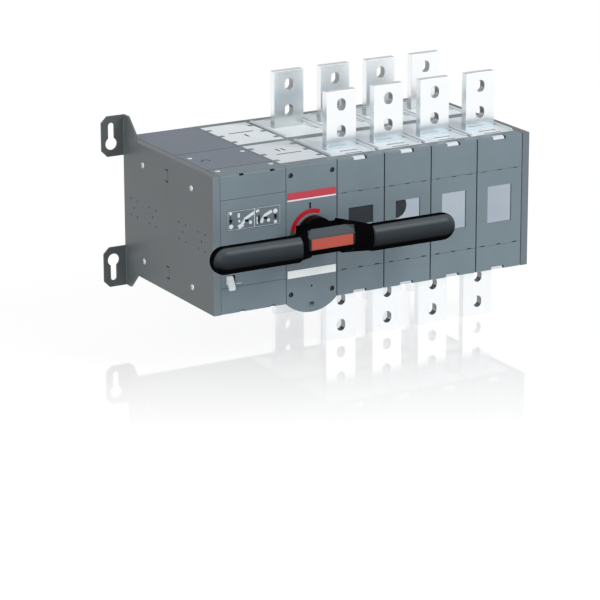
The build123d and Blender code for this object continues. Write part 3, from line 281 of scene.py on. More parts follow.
class Finish(Recipe):
    """One Principled material, with the steps that the finishes of this switch share."""

    def __init__(self, name, **uniform):
        self.material = bpy.data.materials.new(name)
        self.material.use_nodes = True
        super().__init__(self.material.node_tree)
        self.shader = self.tree.nodes["Principled BSDF"]
        for socket, value in uniform.items():
            self.shader.inputs[socket.replace("_", " ")].default_value = value
        self.place = self.node("ShaderNodeTexCoord", output="Object")
        self.x, self.y, self.z = self.split(self.place)

    def grain(self, size, detail=2.0, stretch=(1.0, 1.0, 1.0)):
        """Noise from 0 to 1 whose spots are about size metres wide, stretched along an axis if asked."""
        spot = self.node("ShaderNodeMapping", sockets={"Vector": self.place, "Scale": stretch})
        return self.node(
            "ShaderNodeTexNoise", sockets={"Vector": spot, "Scale": 1.0 / size, "Detail": detail}
        )

    def spread(self, noise, bottom=0.0, top=1.0):
        """Stretches noise, which seldom leaves its middle range, from bottom to top."""
        return self.span(noise, noise_low, noise_high, bottom, top)

    def mix(self, factor, first, second):
        """A mix of two colours."""
        first, second = (c if isinstance(c, Wire) else (*c, 1.0) for c in (first, second))
        return self.node(
            "ShaderNodeMix", {"data_type": "RGBA"}, {0: factor, 6: first, 7: second}, output=2
        )

    def edges(self):
        """The mask of rounded edges, which softened copies carry as a face attribute."""
        return self.node("ShaderNodeAttribute", {"attribute_name": "edge"}, output="Fac")

    def up(self):
        """How far a surface looks up: 1 on top, 0 on a wall and -1 underneath."""
        return self.split(self.node("ShaderNodeNewGeometry", output="Normal"))[2]

    def from_nearest(self, first):
        """How far a point lies right of the nearest of the lines that repeat with the poles."""
        return self.calc("WRAP", self.x - first, pole_pitch / 2, -pole_pitch / 2)

    def deep_in_lid(self):
        """The mask of the grooves and slits in the lids, where shade is painted."""
        below_top = abs(self.z) < lid_groove_height
        return below_top * (abs(self.z) > lid_foot_height) * (self.y > lid_front)

    def between_lids(self):
        """The mask of the channels between the poles' lids, on the upper and the lower side, where shade
        is painted.
        """
        on_lid_side = (abs(self.z) > recess_half_height) * (self.y > lid_front)
        return on_lid_side * (abs(self.from_nearest(first_channel)) < channel_half_width)

    def deep_in_front(self):
        """The mask of seams, wells and the latch opening in the front face, which lie in shadow."""
        layer = (self.y > front_y + recess_start) * (self.y < front_y + recess_end)
        across = abs(self.x - latch_shade_x)
        latch = (across < latch_half_width) * (abs(self.z + latch_shade_drop) < latch_half_height)
        fine_seam = (self.x < flap_right) * (self.z < flap_top) * flap_seam_relief
        return layer * ((abs(self.z) < recess_half_height) * (1 - fine_seam) + latch)

    def on_grips(self):
        """The mask of the grips' front skin and of the bevelled block between the arms, which get painted
        light.
        """
        reach = abs(self.x - handle_x)
        on_block = (reach < block_edge) * (self.y < block_shoulder) * (abs(self.z) < block_half_height)
        skin = self.span(self.y, grip_rim - rim_blend, grip_rim + rim_blend, 1.0, 0.0)
        return (reach > grip_start) * skin + on_block

    def bump(self, height, depth, strength=0.5):
        """A normal from a height of 0 to 1 that stands for depth metres."""
        return self.node("ShaderNodeBump", sockets={
            "Height": height, "Distance": depth, "Strength": strength,
        })

    def paint(self, **sockets):
        """Sends wires to the shader's sockets and hands back the material."""
        for socket, value in sockets.items():
            plug(self.tree, self.shader.inputs[socket.replace("_", " ")], value)
        return self.material


# %% [markdown]
# ## Moulded plastics
# The housings are glass-filled thermoplastic: grey with a hint of blue, and eroded in the mould to a fine
# matt grain. A texture image would need UVs on every part. Noise at two sizes does it instead: a wide one
# that shifts the colour a little, and a fine one for the grain. Rounded edges get a painted highlight, a
# lighter shade. The lids' grooves get painted shade, and so do the housings' seams, channels and faces
# that look up. The grips have a satin skin with painted light where it looks up, and a clear coat only
# there.

# %% Moulded plastics
cloud_size = 70.0 * mm
plastic_relief = 0.03 * mm
edge_highlight = 0.6
palest = 0.9
groove_shade_tone = 0.25
seam_shade_tone = 0.3
channel_shade_tone = 0.45
upper_shade_tone = 0.84
upper_start, upper_full = 0.5, 0.95
top_light_start, top_light_full = -0.38, 0.7
top_light_coat = 0.3
gloss_change = 0.05


def moulded(
    name, colour, gloss, grain_size, edge_highlight_gain,
    variation=0.05, specular=0.15, painted_top_light=None, housing=False,
):
    """A moulded plastic. painted_top_light is the colour painted on the grips where they look up, and a
    housing gets painted shade in its seams, channels and upper faces.
    """
    finish = Finish(name, Specular_IOR_Level=specular, Coat_Roughness=0.3)
    cloud = finish.spread(finish.grain(cloud_size, 3.0))
    edge_highlight_colour = tuple(min(c, palest) for c in shade(colour, edge_highlight_gain))
    skin = finish.mix(cloud, shade(colour, 1 - variation), shade(colour, 1 + variation))
    # Painted highlight on rounded edges.
    skin = finish.mix(finish.edges() * edge_highlight, skin, edge_highlight_colour)
    # Painted shade in the lids' grooves and slits.
    skin = finish.mix(finish.deep_in_lid(), skin, shade(colour, groove_shade_tone))
    if housing:
        upper = finish.span(finish.up(), upper_start, upper_full)
        # Painted shade in the front's seams, screw wells and latch opening.
        skin = finish.mix(finish.deep_in_front(), skin, shade(colour, seam_shade_tone))
        # Painted shade in the channels between the lids.
        skin = finish.mix(finish.between_lids(), skin, shade(colour, channel_shade_tone))
        # Painted shade on faces that look up.
        skin = finish.mix(upper, skin, shade(colour, upper_shade_tone))
    if painted_top_light:
        # Painted light where the grips look up, with a clear coat only there.
        lit = finish.span(finish.up(), top_light_start, top_light_full) * finish.on_grips()
        skin = finish.mix(lit, skin, painted_top_light)
        finish.paint(Coat_Weight=lit * top_light_coat)
    fine = finish.grain(grain_size, 4.0)
    return finish.paint(
        Base_Color=skin,
        Roughness=finish.spread(fine, gloss - gloss_change, gloss + gloss_change),
        Normal=finish.bump(fine, plastic_relief),
    )


finishes = {
    "dark_grey_plastic": moulded(
        "moulded_grey", (0.180, 0.230, 0.262), 0.46, 0.7 * mm, 1.2, housing=True
    ),
    "light_grey_plastic": moulded(
        "moulded_pale", (0.79, 0.85, 0.88), 0.42, 0.8 * mm, 1.1, variation=0.025, specular=0.25
    ),
    "black_plastic": moulded(
        "moulded_black", (0.004, 0.0045, 0.005), 0.36, 0.6 * mm, 1.6, variation=0.1, specular=0.05
    ),
    "orange_red_plastic": moulded(
        "moulded_orange", (0.44, 0.085, 0.062), 0.36, 0.8 * mm, 1.2, variation=0.04
    ),
}
# The motor's lid: a darker copy of the grey, painted shade on its upward face.
motor_lid_grey_shaded = moulded("moulded_lid_grey", (0.138, 0.163, 0.206), 0.44, 0.7 * mm, 1.3)
# The front lids: a darker copy of the pale grey, painted shade.
front_lid_pale_shaded = moulded(
    "moulded_front_lid", (0.66, 0.71, 0.75), 0.42, 0.8 * mm, 1.1, variation=0.025, specular=0.25
)
satin_black = moulded(
    "satin_black", (0.003, 0.003, 0.0035), 0.36, 0.6 * mm, 1.0, variation=0.1, specular=0.0,
    painted_top_light=(0.062, 0.078, 0.090),
)

# %% [markdown]
# ## Sheet steel
# The side plates are folded sheet with a powder coat. The powder melts into a skin like an orange's peel:
# low, round hills a millimetre or two wide. A smooth noise as bump gives those hills, and a finer one
# varies the gloss. The narrow flange on the front face gets the covers' colour: the position tells where
# the front face is. Rounded edges get a painted highlight, and the feet and the cut upper edge get
# painted shade.

# %% Sheet steel
powder_size = 0.9 * mm
hill_size = 2.2 * mm
hill_relief = 0.05 * mm
feet_right = -268.2 * mm
flange_depth = 0.4 * mm
coat_cloud = 90.0 * mm
coat_change = 0.07
feet_shade_tone = 0.76
top_shade_tone = 0.72


def powder_coat(name, colour, front_colour):
    """Powder coated sheet, whose front flange has the colour of the covers."""
    finish = Finish(name, Specular_IOR_Level=0.3)
    skin = finish.mix(
        finish.grain(coat_cloud, 3.0), shade(colour, 1 - coat_change), shade(colour, 1 + coat_change)
    )
    skin = finish.mix(finish.y < front_y + flange_depth, skin, front_colour)
    # Painted highlight on rounded edges.
    skin = finish.mix(finish.edges() * 0.5, skin, shade(front_colour, 1.1))
    # Painted shade on the feet.
    skin = finish.mix(finish.x < feet_right, skin, shade(colour, feet_shade_tone))
    # Painted shade on the cut upper edge, which looks up.
    upper = finish.span(finish.up(), upper_start, upper_full)
    skin = finish.mix(upper, skin, shade(colour, top_shade_tone))
    return finish.paint(
        Base_Color=skin,
        Roughness=finish.spread(finish.grain(powder_size), 0.36, 0.48),
        Normal=finish.bump(finish.grain(hill_size, 1.0), hill_relief),
    )


finishes["grey_sheet_steel"] = powder_coat("powder_coat", (0.122, 0.138, 0.144), (0.172, 0.216, 0.247))
# A darker copy of the same coat for the right plate: painted shade.
right_coat_shaded = powder_coat("powder_coat_right", (0.105, 0.120, 0.128), (0.142, 0.176, 0.203))

# %% [markdown]
# ## Bare metals
# The terminal bars are tinned copper: a soft, silvery metal with fine streaks along the bar from rolling.
# Stretching a noise along Z draws the streaks. Near the body the tin gets painted shade, darker on the
# rear row, and the walls of the punched slots get painted shade too; the sawn ends are darker. Screws,
# rods and gears are zinc plated, the motor's can is drawn steel and the bush is bronze, each with its own
# grain.

# %% Bare metals
along_z = (1.0, 1.0, 0.03)
along_y = (1.0, 0.05, 1.0)
even = (1.0, 1.0, 1.0)
patch_size = 25 * mm
streak_relief = 0.005 * mm
between_rows = -140 * mm
bar_end = 188.2 * mm
front_foot_shade = (0.70, 0.80, 0.85)
sawn_end = (0.40, 0.41, 0.42)
punched_wall_shade = (0.26, 0.265, 0.27)
first_bar = -24.5 * mm
outer_hole = 167.5 * mm
inner_hole = 127.5 * mm
hole_straight = 2.0 * mm
hole_radius = 7.2 * mm
dullest = 0.965


def in_bar_hole(finish):
    """The mask of the punched slots' walls, where shade is painted: they lie close to each slot's outline.
    """
    across = finish.from_nearest(first_bar)
    mask = 0.0
    for hole_height in (outer_hole, inner_hole):
        beyond = finish.calc("MAXIMUM", abs(abs(finish.z) - hole_height) - hole_straight, 0.0)
        mask = mask + (finish.length(finish.vector(across, beyond)) < hole_radius)
    return mask


def streaked_metal(name, bright, dull_and_rear_shade, low, high, stretch, grain_size, foot=None):
    """A metal with streaks. Roughness runs from low to high. foot is the z range over which the painted
    shade near the body fades out.
    """
    finish = Finish(name, Metallic=1.0)
    streak = finish.grain(grain_size, 5.0, stretch)
    patch = finish.grain(patch_size, 3.0)
    metal = finish.mix(finish.spread(streak * 0.5 + patch * 0.5), shade(bright, dullest), bright)
    if foot:
        # Painted shade near the body, darker on the rear row.
        foot_shade = finish.mix(finish.y < between_rows, dull_and_rear_shade, front_foot_shade)
        metal = finish.mix(finish.span(abs(finish.z), *foot), foot_shade, metal)
        metal = finish.mix(abs(finish.z) > bar_end, metal, sawn_end)
        # Painted shade on the walls of the punched slots.
        metal = finish.mix(in_bar_hole(finish), metal, punched_wall_shade)
    else:
        metal = finish.mix(finish.span(patch, 0.45, 0.75, 0.0, 0.5), metal, dull_and_rear_shade)
    return finish.paint(
        Base_Color=metal,
        Roughness=finish.spread(streak, low, high),
        Normal=finish.bump(streak, streak_relief),
    )


finishes["tinned_copper"] = streaked_metal(
    "tinned_copper", (0.92, 0.945, 0.96), (0.60, 0.63, 0.63), 0.17, 0.23, along_z, 0.9 * mm,
    (98 * mm, 132 * mm),
)
finishes["zinc_plated_steel"] = streaked_metal(
    "zinc_plated", (0.62, 0.63, 0.64), (0.45, 0.46, 0.48), 0.26, 0.42, even, 3 * mm
)
# A dark copy of the zinc for the screws deep in the cover's wells: painted shade.
dark_zinc = streaked_metal(
    "dark_zinc", (0.07, 0.075, 0.08), (0.04, 0.045, 0.05), 0.30, 0.45, even, 3 * mm
)
finishes["motor_can_steel"] = streaked_metal(
    "motor_can", (0.45, 0.46, 0.47), (0.33, 0.34, 0.36), 0.24, 0.40, along_y, 1.5 * mm
)
finishes["bearing_bronze"] = streaked_metal(
    "bearing_bronze", (0.62, 0.43, 0.21), (0.40, 0.26, 0.12), 0.30, 0.50, even, 1.5 * mm
)

# %% [markdown]
# ## Circuit board
# The control board hides in the motor box. Its solder mask is green, with copper tracks that show through
# as slightly lighter lines. A square wave of the position, one for each direction, draws the tracks.

# %% Circuit board
track_pitch = 2.5 * mm
track_width = 0.7 * mm
track_relief = 0.035 * mm
area_size = 14 * mm


def solder_mask(name):
    """Green board with tracks, which run one way or the other in patches."""
    finish = Finish(name, Coat_Roughness=0.2)

    def stripes(value):
        return finish.calc("PINGPONG", value, track_pitch / 2) < track_width / 2

    area = finish.grain(area_size, 1.0)
    lines = stripes(finish.z) * (area > 0.5) + stripes(finish.y) * (area < 0.5)
    return finish.paint(
        Base_Color=finish.mix(lines, (0.012, 0.11, 0.045), (0.03, 0.22, 0.09)),
        Roughness=finish.spread(area, 0.28, 0.4),
        Coat_Weight=0.4,
        Normal=finish.bump(lines, track_relief, 0.6),
    )


finishes["circuit_board"] = solder_mask("solder_mask")
print(len(finishes), "finishes")

# %% [markdown]
# ## Windows
# Each pole has a clear pane through which the knife blades can be seen. From outside, at a low angle, a
# polished pane over a dark chamber acts as a mirror: it shows the white room, and the first two show the
# black handle. A mostly metallic surface with a pale blue tint gives this at any render setting, where
# real glass would need many bounces. A wide, faint noise keeps the moulded pane from being quite flat.

# %% Windows
ripple_size = 45 * mm
ripple_relief = 0.15 * mm
haze_size = 6 * mm


def window_pane(name):
    """A polished pane that mirrors the room with a pale blue tint."""
    finish = Finish(name, Metallic=0.88, Specular_IOR_Level=0.5)
    ripple = finish.grain(ripple_size, 1.0)
    return finish.paint(
        Base_Color=finish.mix(finish.spread(ripple), (0.375, 0.43, 0.495), (0.41, 0.47, 0.535)),
        Roughness=finish.spread(finish.grain(haze_size), 0.03, 0.06),
        Normal=finish.bump(ripple, ripple_relief, 0.4),
    )


finishes["clear_window"] = window_pane("window_pane")

# %% [markdown]
# ## Printed colours
# The arc round the handle tells the positions: red stands for on, up and down, and green for off, at nine
# o'clock. One ring carries all colours, so the angle of a point round the handle's axis picks the colour.
# ARCTAN2 gives that angle. The red band has a thin white line along its foot, picked by the height. The
# blank label, the film under the pictograms and the two inks are plain.
# Screen print shows tiny pinholes and an uneven gloss, which a fine noise gives.

# %% Printed colours
pinhole_size = 0.5 * mm
film_relief = 0.01 * mm


def printed(name, colour_at, specular=0.4):
    """A printed label. colour_at(finish) gives its colour."""
    finish = Finish(name, Specular_IOR_Level=specular)
    ink = finish.grain(pinhole_size, 2.0)
    colour = colour_at(finish)
    worn = finish.mix(finish.span(ink, 0.62, 0.7, 0.0, 0.12), colour, (0.5, 0.5, 0.5))
    return finish.paint(
        Base_Color=worn,
        Roughness=finish.spread(ink, 0.30, 0.42),
        Normal=finish.bump(ink, film_relief, 0.4),
    )


green_half_angle = math.radians(8.5)
print_radius = 28.9 * mm
band_line_top = 52.4 * mm


def dial_colour(finish):
    """Red, with a green field round nine o'clock and a light grey rim inside."""
    angle = finish.calc("ARCTAN2", finish.z, handle_x - finish.x)
    ink = finish.mix(abs(angle) < green_half_angle, (0.47, 0.008, 0.022), (0.015, 0.155, 0.045))
    radius = finish.length(finish.vector(x=finish.x - handle_x, z=finish.z))
    return finish.mix(radius > print_radius, (0.22, 0.255, 0.275), ink)


def band_colour(finish):
    """Red over a white line."""
    return finish.mix(finish.z > band_line_top, (0.80, 0.80, 0.82), (0.52, 0.045, 0.07))


def two_tones(size, first, second):
    """The colour of a plain print, which wavers between two tones."""
    return lambda finish: finish.mix(finish.grain(size), first, second)


blank_white = two_tones(30 * mm, (0.92, 0.98, 1.0), (0.95, 1.0, 1.0))
film_grey = two_tones(20 * mm, (0.130, 0.168, 0.192), (0.152, 0.192, 0.218))
ink_white = two_tones(4 * mm, (0.68, 0.75, 0.79), (0.78, 0.85, 0.89))
ink_black = two_tones(4 * mm, (0.006, 0.009, 0.013), (0.012, 0.016, 0.021))
finishes["dial_print"] = printed("dial_print", dial_colour)
finishes["red_print"] = printed("red_print", band_colour)
finishes["white_label"] = printed("blank_label", blank_white)
finishes["pictogram_label"] = printed("pictogram_film", film_grey)
ink = {"light": printed("light_ink", ink_white), "dark": printed("dark_ink", ink_black, 0.1)}
print(len(finishes), "finishes")

# %% [markdown]
# ## Give every CAD node its finish
# The imported record names a material slot for each node. The loop looks up the finish of that slot. Six
# nodes have their own: the right plate, the motor's lid and the front lids get darker copies of their
# greys as painted shade, the grips have a satin skin with painted light where they look up, and the
# cover's screws, deep in their wells, get a dark zinc as painted shade.

# %% Assign
slot_of = {row["node"]: row["material_slot"] for row in frame["record"]["subparts"]}
own_finish = {
    "right_side_plate": right_coat_shaded,
    "motor_top_cover": motor_lid_grey_shaded,
    "chamber_lids_front": front_lid_pale_shaded,
    "mechanism_lid_front": front_lid_pale_shaded,
    "handle_grip": satin_black,
    "cover_screws": dark_zinc,
}


def finish_of(node_name):
    return own_finish.get(node_name, finishes[slot_of[node_name]])


for node_name, node in nodes.items():
    for material_slot in node.material_slots:
        material_slot.material = finish_of(node_name)
print("finishes given to", len(nodes), "nodes")

# %% [markdown]
# ## Rounded edges
# No moulded or folded edge is razor sharp, and it is the thin highlight along an edge that makes a part
# look solid. The CAD nodes stay as they are, so each visible one gets a softened copy. The copy's loose
# triangles are merged, flat areas become single faces, and every edge sharper than thirty degrees gets a
# small bevel. The bevel's faces carry the attribute that the finishes read. A weighted normal keeps the
# large faces flat in the shading. A copy that changes its volume noticeably would be a fault, so it is
# measured.

# %% Softened copies
flat_angle = math.radians(1.0)
corner_angle = math.radians(30.0)
shading_angle = math.radians(50.0)
merge_distance = 0.01 * mm
most_volume_change = 0.02


def finished_copy(work, name, material):
    """Writes a bmesh to a new object and turns it into a plain mesh with weighted normals."""
    mesh = bpy.data.meshes.new(name)
    work.to_mesh(mesh)
    work.free()
    mesh.materials.append(material)
    mesh.set_sharp_from_angle(angle=shading_angle)
    draft = new_object(name, mesh)
    weighted = draft.modifiers.new("weighted", "WEIGHTED_NORMAL")
    weighted.keep_sharp = True
    return plain_mesh(draft)


def plain_mesh(draft):
    """Replaces an object's modifiers by their result."""
    evaluated = draft.evaluated_get(bpy.context.evaluated_depsgraph_get())
    mesh = bpy.data.meshes.new_from_object(evaluated)
    draft.modifiers.clear()
    draft.data = mesh
    return draft


def stand_for(piece, node_name):
    """Lets a finished piece ride with a CAD node and stand for it."""
    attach(piece, nodes[node_name]["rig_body"])
    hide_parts(node_name)


def merged_mesh(node_name):
    """A CAD node's mesh with its triangles merged to flat faces, and its volume."""
    work = bmesh.new()
    work.from_mesh(nodes[node_name].data)
    bmesh.ops.remove_doubles(work, verts=work.verts, dist=merge_distance)
    volume = work.calc_volume()
    bmesh.ops.dissolve_limit(work, angle_limit=flat_angle, verts=work.verts, edges=work.edges)
    return work, volume


def shade_smoothly(work):
    """Makes every face smooth, and counts the edges that don't close the mesh."""
    for face in work.faces:
        face.smooth = True
        face.material_index = 0
    return sum(not edge.is_manifold for edge in work.edges)


def soften(node_name, radius, segments=2):
    """A copy of a CAD node with rounded edges, which then stands for the node."""
    work, volume = merged_mesh(node_name)
    mark = work.faces.layers.float.new("edge")
    corners = [e for e in work.edges if e.is_manifold and e.calc_face_angle() > corner_angle]
    made = bmesh.ops.bevel(
        work, geom=corners, offset=radius, offset_type="OFFSET", segments=segments, profile=0.5,
        affect="EDGES", clamp_overlap=False,
    )
    for face in made["faces"]:
        face[mark] = 1.0
    open_edges = shade_smoothly(work)
    change = abs(work.calc_volume() / volume - 1)
    count = len(work.faces)
    if open_edges or change > most_volume_change:
        work.free()
        print("kept sharp:", node_name, open_edges, "open edges, volume change", round(change, 4))
        return None
    piece = finished_copy(work, node_name + "_soft", finish_of(node_name))
    stand_for(piece, node_name)
    print(f"{node_name}: {count} faces, volume change {change:.4f}")
    return piece


edge_radius = {
    0.6 * mm: [
        "left_side_plate", "right_side_plate", "motor_front_cover", "motor_top_cover", "terminal_flap",
    ],
    0.45 * mm: ["mechanism_cover", "mechanism_lid_front", "mechanism_lid_rear", "lock_clip"] + [
        f"{part}_{pole}" for part in ("pole_cover", "pole_housing_front", "pole_housing_rear")
        for pole in range(1, 5)
    ],
    0.35 * mm: ["chamber_lids_front", "chamber_lids_rear", "padlock_slide", "handle_hub"] + [
        f"terminal_bars_{row}_{end}" for row in ("front", "rear") for end in ("top", "bottom")
    ],
}
soft = {}
for radius, names in edge_radius.items():
    for node_name in names:
        soft[node_name] = soften(node_name, radius)
print(sum(piece is not None for piece in soft.values()), "softened copies")

# %% [markdown]
# ## Crowned grips
# A hand meets a grip as a round bar, so the front of each grip is crowned: it falls away above and below
# its middle, and round its end. The crown is what lets light from above fade smoothly down the grip. The
# CAD grip has a flat front with rounded rims. The copy is cut into thin strips, and each point of its
# front moves back with the square of its distance from the grip's middle line. It starts on the arm, so
# that the grip and the arm still meet.

# %% Grips
grip_depth_middle = front_y - 67.0 * mm
grip_half_depth = 14.0 * mm
arm_root_middle = front_y - 33.2 * mm
grip_half_height = 20.0 * mm
grip_end_centre = 179.5 * mm
arm_start = 26.0 * mm
arm_end = 63.1 * mm
crown = 5.0 * mm
strip_height = 2.0 * mm
strips = 9
end_strip_width = 2.5 * mm
end_strips = 8
snap_distance = 0.3 * mm


def crown_push(place):
    """How far a point of the grips moves back."""
    reach = abs(place.x - handle_x)
    if reach < arm_start + 1 * mm:
        return 0.0
    along = min((reach - arm_start) / (arm_end - arm_start), 1.0)
    middle = arm_root_middle + (grip_depth_middle - arm_root_middle) * along
    forward = min(max((middle - place.y) / grip_half_depth, 0.0), 1.0)
    weight = min((reach - arm_start) / (grip_start - arm_start), 1.0)
    off_line = math.hypot(max(reach - grip_end_centre, 0.0), place.z) / grip_half_height
    return weight * forward * crown * off_line**2


def crowned_grip():
    """The handle's black moulding with crowned grips."""
    work, _ = merged_mesh("handle_grip")
    cuts = [("z", strip_height * k) for k in range(-strips, strips + 1)]
    for side in (-1, 1):
        for k in range(end_strips):
            cuts.append(("x", handle_x + side * (grip_end_centre + end_strip_width * k)))
    for axis, value in cuts:
        normal = Vector((axis == "x", 0.0, axis == "z"))
        everything = work.verts[:] + work.edges[:] + work.faces[:]
        bmesh.ops.bisect_plane(
            work, geom=everything, dist=snap_distance, plane_co=normal * value, plane_no=normal
        )
    for vert in work.verts:
        vert.co.y += crown_push(vert.co)
    bmesh.ops.triangulate(work, faces=work.faces)
    bmesh.ops.dissolve_degenerate(work, edges=work.edges, dist=merge_distance)
    open_edges = shade_smoothly(work)
    piece = finished_copy(work, "handle_grip_crowned", finish_of("handle_grip"))
    stand_for(piece, "handle_grip")
    print("handle_grip_crowned:", len(piece.data.polygons), "faces,", open_edges, "open edges")


crowned_grip()

# %% [markdown]
# ## Screws
# The switch is held by pan-head screws with a cross recess. One Geometry Nodes tree builds the screw and
# sets it on every point of a small mesh, turned the way that the point's aim says. The head is a
# sphere whose lower half is pressed flat, and two crossed bars cut the recess. Each screw stops at its own
# angle, as real ones do, and a fixed seed keeps those angles the same in every run.

# %% Screw tree
class Shape(Recipe):
    """A Geometry Nodes tree with named inputs for its sizes."""

    def __init__(self, name, inputs):
        super().__init__(bpy.data.node_groups.new(name, "GeometryNodeTree"))
        interface = self.tree.interface
        self.keys = {}
        for title, kind in inputs.items():
            self.keys[title] = interface.new_socket(title, in_out="INPUT", socket_type=kind).identifier
        interface.new_socket("Geometry", in_out="OUTPUT", socket_type="NodeSocketGeometry")
        self.start = self.tree.nodes.new("NodeGroupInput")

    def given(self, title):
        """The wire of a named input."""
        return Wire(self.tree, self.start.outputs[title])

    def moved(self, geometry, translation, rotation=(0.0, 0.0, 0.0)):
        """A geometry that is turned and moved."""
        return self.node("GeometryNodeTransform", sockets={
            "Geometry": geometry, "Translation": translation, "Rotation": rotation,
        })

    def join(self, *parts):
        """Several geometries as one."""
        joined = self.tree.nodes.new("GeometryNodeJoinGeometry")
        for part in parts:
            plug(self.tree, joined.inputs[0], part)
        return Wire(self.tree, joined.outputs[0])

    def end(self, geometry):
        """Makes the result a real mesh of the given material, and puts it out."""
        real = self.node("GeometryNodeRealizeInstances", sockets={"Geometry": geometry})
        dressed = self.node("GeometryNodeSetMaterial", sockets={
            "Geometry": real, "Material": self.given("Material"),
        })
        plug(self.tree, self.tree.nodes.new("NodeGroupOutput").inputs[0], dressed)


screw_sizes = ("Head Radius", "Head Height", "Shank Radius", "Shank Length", "Recess Width")


def screw_tree():
    """Pan-head screws on the points of a mesh, each along its point's aim."""
    shape = Shape("pan_head_screws", {
        "Points": "NodeSocketGeometry",
        **dict.fromkeys(screw_sizes, "NodeSocketFloat"),
        "Seed": "NodeSocketInt",
        "Material": "NodeSocketMaterial",
    })
    radius, height, shank_radius, length, width = (shape.given(size) for size in screw_sizes)
    ball = shape.node("GeometryNodeMeshUVSphere", sockets={"Segments": 32, "Rings": 16, "Radius": 1.0})
    x, y, z = shape.split(shape.node("GeometryNodeInputPosition"))
    lifted = shape.calc("MAXIMUM", z, 0.0)
    head = shape.node("GeometryNodeSetPosition", sockets={
        "Geometry": ball, "Position": shape.vector(x * radius, y * radius, lifted * height),
    })
    rod = shape.node("GeometryNodeMeshCylinder", sockets={
        "Vertices": 24, "Radius": shank_radius, "Depth": length,
    })
    shank = shape.moved(rod, shape.vector(z=0.2 * height - length / 2))
    bar = shape.node("GeometryNodeMeshCube", sockets={"Size": shape.vector(radius * 1.1, width, height)})
    cut = shape.tree.nodes.new("GeometryNodeMeshBoolean")
    cut.operation = "DIFFERENCE"
    cut.solver = "EXACT"
    plug(shape.tree, cut.inputs[0], head)
    for turn in (0.0, math.pi / 2):
        plug(shape.tree, cut.inputs[1], shape.moved(bar, shape.vector(z=height), (0.0, 0.0, turn)))
    screw = shape.join(shank, Wire(shape.tree, cut.outputs[0]))
    aim = shape.node(
        "GeometryNodeInputNamedAttribute", {"data_type": "FLOAT_VECTOR"}, {"Name": "aim"}
    )
    upright = shape.node("FunctionNodeAlignRotationToVector", {"axis": "Z"}, {"Vector": aim})
    spin = shape.node("FunctionNodeRandomValue", {"data_type": "FLOAT"}, {
        2: 0.0, 3: math.pi, "Seed": shape.given("Seed"),
    }, output=1)
    own_turn = shape.node("FunctionNodeAxisAngleToRotation", sockets={
        "Axis": (0.0, 0.0, 1.0), "Angle": spin,
    })
    rotation = shape.node("FunctionNodeRotateRotation", {"rotation_space": "LOCAL"}, {
        "Rotation": upright, "Rotate By": own_turn,
    })
    shape.end(shape.node("GeometryNodeInstanceOnPoints", sockets={
        "Points": shape.given("Points"), "Instance": screw, "Rotation": rotation,
    }))
    return shape


pan_head_screws = screw_tree()
print("screw tree:", len(pan_head_screws.tree.nodes), "nodes")

# %% [markdown]
# ## Set the screws
# The seats come from the boxes of the CAD screws: the heads sit in the corners of one or two sides of
# their node's box. Every point gets its aim, which is the way that its head looks.

# %% Screws
round_angle = math.radians(35.0)


def from_tree(name, shape, points, aims, values):
    """A plain mesh of what a tree makes on some points, which carry their aims."""
    mesh = bpy.data.meshes.new(name)
    mesh.from_pydata(points, [], [])
    if aims:
        layer = mesh.attributes.new("aim", "FLOAT_VECTOR", "POINT")
        layer.data.foreach_set("vector", list(itertools.chain(*aims)))
    draft = new_object(name, mesh)
    grower = draft.modifiers.new("grow", "NODES")
    grower.node_group = shape.tree
    for title, value in values.items():
        grower[shape.keys[title]] = value
    piece = plain_mesh(draft)
    for face in piece.data.polygons:
        face.use_smooth = True
    piece.data.set_sharp_from_angle(angle=round_angle)
    return piece


def seats_on(node_name, axis, sides, head_radius, head_height):
    """The seats and aims of heads in the corners of one or two sides of a node's box."""
    low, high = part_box(node_name)
    choices = [(low[k] + head_radius, high[k] - head_radius) for k in range(3)]
    side_seats = {-1: low[axis] + head_height, 1: high[axis] - head_height}
    choices[axis] = [side_seats[side] for side in sides]
    seats = list(itertools.product(*choices))
    aims = [[0.0, 0.0, 0.0] for _ in seats]
    for seat, aim in zip(seats, aims):
        aim[axis] = -1.0 if seat[axis] == side_seats[-1] else 1.0
    return seats, aims


x_axis, y_axis, z_axis = range(3)
screw_groups = {
    "side_plate_screws": (x_axis, (-1, 1), (4.5, 2.0, 2.5, 8.0, 1.1), 3),
    "top_cover_screws": (z_axis, (1,), (3.8, 1.0, 1.8, 7.0, 0.9), 5),
    "cover_screws": (y_axis, (-1,), (3.6, 1.3, 1.8, 10.0, 0.9), 8),
}
for node_name, (axis, sides, sizes, seed) in screw_groups.items():
    values = {title: size * mm for title, size in zip(screw_sizes, sizes)}
    seats, aims = seats_on(node_name, axis, sides, values["Head Radius"], values["Head Height"])
    values.update({"Seed": seed, "Material": finish_of(node_name)})
    piece = from_tree(node_name + "_fine", pan_head_screws, seats, aims, values)
    stand_for(piece, node_name)
    print(piece.name + ":", len(seats), "screws,", len(piece.data.polygons), "faces")

# %% [markdown]
# ## Snap springs
# Two coil springs sit on the handle's shaft, one on each side of the frame's web. Their CAD mesh has very
# many small faces, so a lighter one stands for it. The tree draws each coil as a spiral and sweeps a
# circle along it. Where the springs begin and end comes from the CAD springs.

# %% Springs
front_spring_length = 25.0 * mm
least_gap = 0.1 * mm
coil_steps = 36
wire_sides = 14


